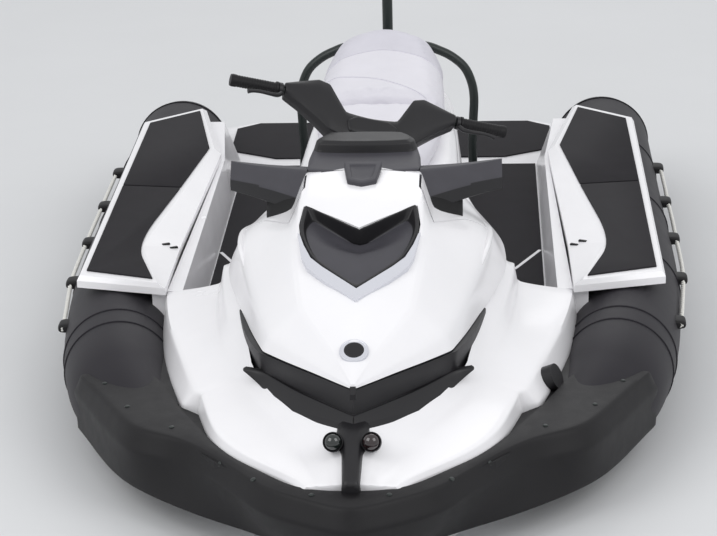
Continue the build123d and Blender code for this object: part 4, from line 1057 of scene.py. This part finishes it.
def latch_piece():
    """Tab at the rear of the lid, with a shallow finger recess."""
    rings = [[LATCH_SLOPE.at(x * k, (v + 8) * k - 8, lift) for x, v in mirrored(LATCH)] for lift, k in LATCH_LAYERS]
    creases = {k: 0.7 for k in (1, 2, 4, 5, 6, 8, 9)}
    latch = cage("lid_latch_tab", rings, "plastic_grey", creases, {1: 0.5, 2: 0.5, 3: 0.4, 4: 0.4}, ends=0.4)
    settle(latch, "lid", ("lid_latch",))


class WATERCRAFT_OT_console(bpy.types.Operator):
    """Model the instrument cowl and the lid's latch"""
    bl_idname = "watercraft.console"
    bl_label = "Console"

    def execute(self, context):
        console_piece()
        latch_piece()
        return {"FINISHED"}


# Rake of the steering axis and turn of the bars at rest, in degrees, and the middle of the bar
STEER_LEAN = 50.0
STEER_TURN = 20.0
BAR_SPOT = Vector((0, -176, 781))


def steer(x, up, forward):
    """Point in the turned bar's own directions, in mm."""
    lean, turn = math.radians(STEER_LEAN), math.radians(STEER_TURN)
    axis = Vector((0, math.sin(lean), math.cos(lean)))
    aft = Vector((0, math.cos(lean), -math.sin(lean)))
    across = Vector((1, 0, 0)) * math.cos(turn) + aft * math.sin(turn)
    ahead = Vector((1, 0, 0)) * math.sin(turn) - aft * math.cos(turn)
    return BAR_SPOT + across * x + axis * up + ahead * forward


# Handlebar cover in the turned bar's directions: x, lower edge, upper edge, depth of the crown, depth of the edges
COVER = [(252, -20, 20, 22, 12), (205, -52, 33, 27, 17), (156, -92, 46, 31, 22), (124, -122, 36, 32, 24),
         (76, -137, -48, 32, 24), (0, -138, -58, 32, 24)]
COVER_BACK = -24
# Pad on the middle of the cover: its outline round a height, and its layers as a depth and a share of the outline
PAD = [(-78, -84), (-52, -66), (52, -66), (78, -84), (70, -122), (-70, -122)]
PAD_UP = -94
PAD_LAYERS = [(20, 1), (33, 1), (38, 0.9)]
# Switch keys beside each grip, x, up and half width, and the depths of their layers
KEYS = [(214, 6, 15), (188, 12, 11), (206, -18, 10)]
KEY_LAYERS = (-33, -29, -19)


def cover_piece():
    """Body of the cover from arm to arm, its front crowned between a lower and an upper edge."""
    rings = []
    for x, low, high, crown, edge in mirrored(COVER):
        third = (high - low) * 0.22
        section = [(low + 3, COVER_BACK), (low, 0), (low + 3, edge), (low + third, crown), (high - third, crown),
                   (high - 3, edge), (high, 0), (high - 3, COVER_BACK)]
        rings.append([steer(x, up, depth) for up, depth in section])
    creases = {0: 0.8, 1: 0.4, 2: 0.6, 3: 0.2, 4: 0.2, 5: 0.6, 6: 0.4, 7: 0.8}
    corners = {1: 0.5, 2: 0.7, 3: 0.8, 4: 0.7, 6: 0.7, 7: 0.8, 8: 0.7, 9: 0.5}
    cover = cage("bar_cover", rings, "plastic_black", creases, corners, levels=3, ends=0.8)
    settle(cover, "steering", ("handlebar_cover",))
    rings = [[steer(x * k, PAD_UP + (up - PAD_UP) * k, depth) for x, up in PAD] for depth, k in PAD_LAYERS]
    plate = cage("bar_pad", rings, "plastic_black", {k: 0.5 for k in range(6)}, ends=0.4)
    settle(plate, "steering", finish="plastic_black")
    for sign, word in ((-1, "starboard"), (1, "port")):
        keys = []
        for x, up, wide in KEYS:
            rings = [[steer(sign * x + c * wide, up + s * 8, depth) for c, s in circle(12)] for depth in KEY_LAYERS]
            keys.append(freeze(cage("key", rings, "shadow_plastic", levels=1)))
        gather("bar_keys_" + word, keys, "steering", finish="plastic_black")


# Grip along the bar, x and radius: its inner flange and its outer bulb, and the ends of the ribs between them
GRIP_FLANGE = [(270, 12), (271, 20), (277, 20), (279, 17)]
GRIP_BULB = [(392, 17.5), (402, 18), (408, 16.5), (409, 8)]
RIBS_FROM, RIBS_TO = 284, 388


def grips_piece():
    """Ribbed rubber grips with a flange and a closed end."""
    count = sizes().grip_ribs
    step = (RIBS_TO - RIBS_FROM) / count
    profile = list(GRIP_FLANGE)
    for k in range(count):
        a = RIBS_FROM + k * step
        profile += [(a, 16.0), (a + step * 0.25, 17.0), (a + step * 0.6, 17.0), (a + step * 0.8, 16.0)]
    profile += GRIP_BULB
    grips = []
    for sign in (-1, 1):
        points = [steer(sign * x, c * r, s * r) for x, r in profile for c, s in circle(32)]
        grips.append(add_piece("grip", points, skin(len(profile), 32), "rubber_black"))
    gather("bar_grips", grips, "steering", ("grips",))


# Lever in the turned bar's directions, from its clamp to its tip: x, up, forward, radius
LEVER = [(264, -24, 16, 7), (276, -38, 24, 6.5), (296, -43, 30, 5.5), (326, -43, 32, 5), (350, -46, 33, 5.2),
         (364, -50, 32, 6.5)]
# Clamp of a lever on the bar: x, radius
LEVER_CLAMP = [(257, 17), (258, 19), (269, 19), (270, 17)]


def levers_piece():
    """Slim curved levers under the grips, each on its clamp."""
    parts = []
    for sign in (-1, 1):
        parts.append(tube("lever", LEVER, 8, "plastic_black", 12, lambda x, up, ahead: steer(sign * x, up, ahead)))
        parts.append(turned("lever_clamp", lambda up, ahead, x: steer(sign * x, up, ahead), LEVER_CLAMP,
                            "plastic_black", 32, 1, {1: 0.5, 2: 0.5}))
    gather("bar_levers", parts, "steering", ("levers",))


class WATERCRAFT_OT_steering(bpy.types.Operator):
    """Model the bar's cover, pad, switches and grips"""
    bl_idname = "watercraft.steering"
    bl_label = "Steering"

    def execute(self, context):
        cover_piece()
        grips_piece()
        levers_piece()
        return {"FINISHED"}


# Seat cushions: columns y, half width, side z, shoulder z, top z
RIDER_TABLE = [
    (-64, 88, 516, 541, 553), (20, 122, 514, 540, 552), (120, 148, 511, 538, 550), (260, 176, 514, 544, 557),
    (400, 195, 519, 552, 566), (500, 201, 528, 566, 582), (556, 202, 534, 577, 594),
]
PASSENGER_TABLE = [
    (564, 204, 544, 594, 612), (660, 207, 549, 602, 620), (760, 207, 554, 611, 629), (860, 203, 562, 626, 644),
    (960, 195, 569, 641, 660), (1030, 182, 566, 652, 678), (1080, 169, 560, 656, 686), (1120, 148, 548, 632, 668),
    (1148, 116, 530, 600, 636),
]
SEAT_SPLIT_Z = 472
# Cover of a cushion: metres between its points, pressure inside it, frames that it is blown up for, the furthest that
# a point moves in mm, and the height in metres under which the base holds it down
COVER_STEP, COVER_PRESSURE, COVER_FRAMES, COVER_LIMIT, HELD_Z = 0.006, 4.0, 20, 7, 0.478


def cushion_form(name, table, arch):
    rings = []
    for y, half, side_z, shoulder_z, top_z in table:
        rings.append(mirrored_ring(y, [(0, SEAT_SPLIT_Z), (half - 14, SEAT_SPLIT_Z), (half - 2, 488), (half, side_z),
                                       (half * 0.93, side_z * 0.4 + shoulder_z * 0.6), (half * 0.8, shoulder_z - 3),
                                       (half * 0.42, top_z - arch), (0, top_z)]))
    creases = mirrored_creases({1: 0.6, 2: 0.1}, 8)
    return cage(name, rings, "seat_vinyl", creases, ends=0.35)


def puff(piece):
    """Blows the cover up by cloth pressure, no point moving further than the limit."""
    freeze(piece, 0)
    again = piece.modifiers.new("even_mesh", "REMESH")
    again.mode = "VOXEL"
    again.voxel_size = COVER_STEP
    again.use_smooth_shade = True
    freeze(piece, 0)
    start = [v.co.copy() for v in piece.data.vertices]
    cloth = piece.modifiers.new("cover", "CLOTH")
    cloth.settings.use_pressure = True
    cloth.settings.uniform_pressure_force = COVER_PRESSURE
    cloth.settings.effector_weights.gravity = 0
    for frame_number in range(1, COVER_FRAMES + 1):
        bpy.context.scene.frame_set(frame_number)
    freeze(piece, 0)
    bpy.context.scene.frame_set(1)
    for v, old in zip(piece.data.vertices, start):
        move = v.co - old
        if old.z < HELD_Z:
            move.z = 0
        if move.length > COVER_LIMIT * MM:
            v.co = old + move.normalized() * COVER_LIMIT * MM
        elif old.z < HELD_Z:
            v.co = old + move
    for face in piece.data.polygons:
        face.use_smooth = True
    piece.data.materials.clear()
    return piece


def band_edge(x):
    """Front edge of the darker zone across the rear cushion."""
    return 920 - 0.0016 * x * x


def in_band(face):
    x, y, z = face.center / MM
    return y > band_edge(x) and z > 540


# Seams across each cushion: y for an x, and the two ends in x
SEAT_SEAMS = {
    "seat_rider": [(lambda x: 330 + 0.001 * x * x, -170, 170)],
    "seat_passenger": [(band_edge, -190, 190), (lambda x: 676 - 0.56 * x - 0.0008 * x * x, -190, 150)],
}


def seat_pieces():
    for name, table, arch, node in (("rider_cushion", RIDER_TABLE, 5, "seat_rider"),
                                    ("passenger_cushion", PASSENGER_TABLE, 11, "seat_passenger")):
        cushion = puff(cushion_form(name, table, arch))
        cushion.data.materials.append(MATERIALS["seat_vinyl"])
        if node == "seat_passenger":
            two_tone(cushion, "seat_band", in_band)
        settle(cushion, nodes=(node,))
        seat_seams(cushion, node)


def seat_seams(cushion, node):
    """Welded seams laid on the cover across it."""
    beads = []
    radius = sizes().seam_bead / MM * 0.4
    for y_at, first, last in SEAT_SEAMS[node]:
        spots = []
        for x in range(first, last + 1, 10):
            found, spot, normal, _ = cushion.ray_cast(Vector((x, y_at(x), 1200)) * MM, Vector((0, 0, -1)))
            if found:
                spots.append(spot / MM + normal * 0.4)
        beads.append(swept("seam", spots, [radius] * len(spots), "seat_band", 8))
    gather("seat_seams_" + node, beads, finish="seat_vinyl")


class WATERCRAFT_OT_seat(bpy.types.Operator):
    """Model the two padded cushions and their seams"""
    bl_idname = "watercraft.seat"
    bl_label = "Seat"

    def execute(self, context):
        seat_pieces()
        return {"FINISHED"}


# Grab line from holder to holder, x, y, z in mm
LINE = [(868, -450, 215), (886, -250, 209), (904, -60, 215), (910, 120, 208), (908, 300, 215), (912, 480, 207),
        (908, 660, 215), (912, 840, 208), (908, 1040, 215)]
HOLDERS = [(872, -420), (904, -60), (908, 300), (908, 660), (908, 1020)]
HOLDER_Z = 215
# Section of a saddle outwards from the collar, and its stations: step along the craft, share of the section
SADDLE = [(-48, -14), (-6, -15), (11, -11), (12, 0), (11, 11), (-6, 15), (-48, 14)]
SADDLE_STATIONS = [(-30, 0.55), (-26, 0.85), (-14, 1.0), (14, 1.0), (26, 0.85), (30, 0.55)]
# Strands of the line and the sides of each; the length of a full turn; a strand's offset and radius for a width of 1
STRANDS, STRAND_SIDES = 3, 8
LAY_LENGTH = 46
STRAND_OFFSET, STRAND_RADIUS = 0.255, 0.245


def rope_route(name, sign):
    """Points of the route's own smooth curve."""
    data = bpy.data.curves.new(name, "CURVE")
    data.dimensions = "3D"
    spline = data.splines.new("NURBS")
    spline.points.add(len(LINE) - 1)
    for point, (x, y, z) in zip(spline.points, LINE):
        point.co = (sign * x * MM, y * MM, z * MM, 1)
    spline.order_u = 3
    spline.use_endpoint_u = True
    data.resolution_u = 36
    route = bpy.data.objects.new(name, data)
    bpy.context.scene.collection.objects.link(route)
    graph = bpy.context.evaluated_depsgraph_get()
    mesh = bpy.data.meshes.new_from_object(route.evaluated_get(graph), depsgraph=graph)
    spots = [v.co.copy() for v in mesh.vertices]
    bpy.data.objects.remove(route)
    return spots


def rope_piece(sign, word):
    """Three strands laid round the route."""
    spots = rope_route("line_route", sign)
    width = sizes().rope_width / MM
    rows, run = [], 0.0
    for i, spot in enumerate(spots):
        way = heading(spots, i)
        side = way.cross(Vector((0, 0, 1))).normalized()
        if i:
            run += (spot - spots[i - 1]).length
        rows.append((spot / MM, side, side.cross(way), run / MM))
    points, faces = [], []
    for strand in range(STRANDS):
        faces += skin(len(rows), STRAND_SIDES, len(points))
        for spot, side, rise, along in rows:
            turn = 2 * math.pi * (along / LAY_LENGTH + strand / STRANDS)
            centre = spot + (side * math.cos(turn) + rise * math.sin(turn)) * width * STRAND_OFFSET
            points += [centre + (side * c + rise * s) * width * STRAND_RADIUS for c, s in circle(STRAND_SIDES)]
    rope = add_piece("grab_line_" + word, points, faces, "rope_white", sharp=0)
    tuple(spots[0])
    [list(p) for p in spots]
    settle(rope, nodes=("grab_line",) if sign > 0 else (), finish="rope_white")


def holder_pieces():
    """Moulded saddles that hold the line on the collar."""
    blocks = []
    for sign in (-1, 1):
        for x, y in HOLDERS:
            rings = [[(sign * (x + u * (k if u > 0 else 1)), y + dy, HOLDER_Z + v * k) for u, v in SADDLE]
                     for dy, k in SADDLE_STATIONS]
            blocks.append(freeze(cage("holder", rings, "rubber_black", ends=0.3)))
    gather("line_saddles", blocks, nodes=("line_holders",))


class WATERCRAFT_OT_lines(bpy.types.Operator):
    """Model the grab lines and their saddles"""
    bl_idname = "watercraft.lines"
    bl_label = "Grab lines"

    def execute(self, context):
        rope_piece(1, "port")
        rope_piece(-1, "starboard")
        holder_pieces()
        return {"FINISHED"}


# Plan of a platform mat on the port side: front half, then rear half, with the split left open between them
MAT_FRONT = [(607, -440), (803, -368), (801, 414)]
MAT_CORNER = (688, -153)
MAT_REAR = [(618, 396), (801, 424), (798, 1108), (643, 1248), (569, 813)]
MAT_SPLIT_X = 619.0
MAT_SPLIT = [(622, 391), (800, 419)]
PLATFORM_Z = 360
MAT_TOP_Z = 365
# Seam down each footwell: x, y; and the slots at the front of each platform: x, y, z
WELL_SEAM = [(352, 60), (420, 170), (494, 330)]
WELL_FLOOR_Z = 170
SLOTS_AT = [(581, -139, 350), (606, -118, 353.5)]


def bent(start, corner, end, steps=8):
    """Points round a corner on a smooth curve."""
    return [tuple(a * (1 - t) ** 2 + b * 2 * t * (1 - t) + c * t ** 2 for a, b, c in zip(start, corner, end))
            for t in (k / steps for k in range(steps + 1))]


def plate_strip(name, points, width, thick, finish, z):
    """Thin raised strip along plan points in mm."""
    line, left, right = [Vector(p) for p in points], [], []
    for i, spot in enumerate(line):
        way = heading(line, i)
        side = Vector((-way.y, way.x)) * width / 2
        left.append(spot + side)
        right.append(spot - side)
    return prism(name, left + right[::-1], z, z + thick, finish)


def mats_piece():
    """Platform mats in two halves each, rounded at their inner corner, with a near-black strip of painted shade under
    each split.
    """
    mats, split_shades = [], []
    curve = bent((655, -270), MAT_CORNER, (662, 60))
    front = MAT_FRONT + [(MAT_SPLIT_X, 386)] + curve[::-1]
    for sign in (-1, 1):
        for outline in (front, MAT_REAR):
            mat = prism("mat", [(sign * x, y) for x, y in outline], PLATFORM_Z, MAT_TOP_Z, "mat_charcoal")
            mats.append(freeze(soften(mat, 1.5, 2)))
        # Near-black strip under each split: painted shade in the gap between the halves
        split = [(sign * x, y) for x, y in MAT_SPLIT]
        split_shades.append(plate_strip("bed", split, 12, 1.2, "shadow_plastic", PLATFORM_Z))
    gather("platform_mat_foam", mats, nodes=("platform_mats",))
    gather("mat_splits", split_shades, finish="mat_charcoal")


def mat_details():
    """Footwell seams, and near-black blocks of painted shade for the platforms' slots."""
    seams, slot_shades = [], []
    for sign in (-1, 1):
        seam = [(sign * x, y) for x, y in WELL_SEAM]
        seams.append(plate_strip("well_seam", seam, 10, 1.2, "gelcoat_white", WELL_FLOOR_Z))
        for x, y, z in SLOTS_AT:
            # Each slot is a near-black block standing proud of the platform: painted shade of the opening
            slot = [(sign * (x + 10), y - 5), (sign * (x - 10), y + 5)]
            slot_shades.append(plate_strip("slot", slot, 9, 6, "shadow_plastic", z - 4))
    gather("well_seams", seams, finish="gelcoat_white")
    gather("platform_slots", slot_shades, finish="plastic_black")


class WATERCRAFT_OT_mats(bpy.types.Operator):
    """Model the platform mats with painted shade under their splits, the footwell seams, and painted shade for the
    platform slots
    """
    bl_idname = "watercraft.mats"
    bl_label = "Mats"

    def execute(self, context):
        mats_piece()
        mat_details()
        return {"FINISHED"}


# Camera of the photograph: place in metres, then pitch down, yaw and roll in degrees, and lens in mm
CAMERA_SPOT = (0.313, -7.197, 2.790)
CAMERA_PITCH = 19.537
CAMERA_YAW = -2.899
CAMERA_ROLL = -1.391
CAMERA_LENS = 129.4


class WATERCRAFT_OT_camera(bpy.types.Operator):
    """Set up the camera from where the craft was seen"""
    bl_idname = "watercraft.camera"
    bl_label = "Camera"

    def execute(self, context):
        pitch, yaw, roll = (math.radians(a) for a in (CAMERA_PITCH, CAMERA_YAW, CAMERA_ROLL))
        ahead = Vector((math.sin(yaw) * math.cos(pitch), math.cos(yaw) * math.cos(pitch), -math.sin(pitch)))
        level = Vector((math.cos(yaw), -math.sin(yaw), 0))
        upward = level.cross(ahead)
        right = level * math.cos(roll) + upward * math.sin(roll)
        top = upward * math.cos(roll) - level * math.sin(roll)
        data = bpy.data.cameras.new("camera")
        data.lens = CAMERA_LENS
        data.sensor_width = 36
        data.clip_end = 200
        camera = bpy.data.objects.new("camera", data)
        context.scene.collection.objects.link(camera)
        turn = Matrix((right, top, -ahead)).transposed().to_4x4()
        camera.matrix_world = Matrix.Translation(CAMERA_SPOT) @ turn
        context.scene.camera = camera
        return {"FINISHED"}


# Floor at the waterline in mm, and the soft lamps over it: name, place in metres, watts
FLOOR_HALF, FLOOR_DEPTH = 40000, 60
LAMPS = [("key", (-4.0, -4.0, 5.0), 120), ("fill", (4.2, -4.0, 5.0), 110), ("back", (0.5, 6.0, 5.0), 50)]
LAMP_SIZE = 4.0


class WATERCRAFT_OT_stage(bpy.types.Operator):
    """Lay the pale floor at the waterline and hang soft studio lamps"""
    bl_idname = "watercraft.stage"
    bl_label = "Floor and lamps"

    def execute(self, context):
        corners = [(x * FLOOR_HALF, y * FLOOR_HALF) for x, y in ((-1, -1), (1, -1), (1, 1), (-1, 1))]
        floor = prism("floor", corners, -FLOOR_DEPTH, 0)
        floor.data.materials.clear()
        pale = linear("DADBDC")
        material, tree, shader = new_material("pale_floor", pale, 0.9)
        mottle(tree, shader, pale, 0.01, 900)
        floor.data.materials.append(material)
        world = bpy.data.worlds.new("studio")
        context.scene.world = world
        world.use_nodes = True
        tree = world.node_tree
        shade = tree.nodes["Background"]
        shade.inputs["Color"].default_value = (0.97, 0.98, 1.0, 1)
        shade.inputs["Strength"].default_value = 0.76
        backdrop = add_node(tree, "ShaderNodeBackground", {"Color": (0.95, 0.955, 0.96, 1), "Strength": 1.0})
        rays = add_node(tree, "ShaderNodeLightPath")
        either = add_node(tree, "ShaderNodeMath", {"operation": "MAXIMUM"})
        tree.links.new(rays.outputs["Is Camera Ray"], either.inputs[0])
        tree.links.new(rays.outputs["Is Transmission Ray"], either.inputs[1])
        mix = add_node(tree, "ShaderNodeMixShader", {}, {0: (either, 0)})
        tree.links.new(shade.outputs[0], mix.inputs[1])
        tree.links.new(backdrop.outputs[0], mix.inputs[2])
        tree.links.new(mix.outputs[0], tree.nodes["World Output"].inputs["Surface"])
        for name, spot, watts in LAMPS:
            data = bpy.data.lights.new(name, "AREA")
            data.size = LAMP_SIZE
            data.energy = watts
            lamp = bpy.data.objects.new(name, data)
            lamp.location = spot
            lamp.rotation_euler = (Vector((0, 0, 0.3)) - Vector(spot)).to_track_quat("-Z", "Y").to_euler()
            context.scene.collection.objects.link(lamp)
        context.scene.view_settings.view_transform = "Standard"
        return {"FINISHED"}


STEPS = (
    WATERCRAFT_OT_camera, WATERCRAFT_OT_finishes, WATERCRAFT_OT_lines, WATERCRAFT_OT_bow_deck, WATERCRAFT_OT_lid,
    WATERCRAFT_OT_upper_body, WATERCRAFT_OT_bow_fittings, WATERCRAFT_OT_fender, WATERCRAFT_OT_collar,
    WATERCRAFT_OT_centre_body, WATERCRAFT_OT_hoop, WATERCRAFT_OT_mirrors, WATERCRAFT_OT_console, WATERCRAFT_OT_steering,
    WATERCRAFT_OT_seat, WATERCRAFT_OT_mats, WATERCRAFT_OT_stage,
)


class WATERCRAFT_PT_panel(bpy.types.Panel):
    """Lists the sizes, the colours and the steps that dress the craft"""
    bl_idname = "WATERCRAFT_PT_panel"
    bl_label = "Watercraft"
    bl_space_type = "VIEW_3D"
    bl_region_type = "UI"
    bl_category = "Watercraft"

    def draw(self, context):
        layout = self.layout
        for group in (context.scene.watercraft_sizes, context.scene.watercraft_colours):
            box = layout.box()
            for name in group.__class__.__annotations__:
                box.prop(group, name)
        for step in STEPS:
            layout.operator(step.bl_idname)


CLASSES = (WatercraftSizes, WatercraftColours, *STEPS, WATERCRAFT_PT_panel)


def register():
    for cls in CLASSES:
        bpy.utils.register_class(cls)
    bpy.types.Scene.watercraft_sizes = PointerProperty(type=WatercraftSizes)
    bpy.types.Scene.watercraft_colours = PointerProperty(type=WatercraftColours)


def unregister():
    del bpy.types.Scene.watercraft_colours
    del bpy.types.Scene.watercraft_sizes
    for cls in reversed(CLASSES):
        bpy.utils.unregister_class(cls)


def main():
    register()
    for step in STEPS:
        group, name = step.bl_idname.split(".")
        getattr(getattr(bpy.ops, group), name)()


if __name__ == "__main__":
    main()
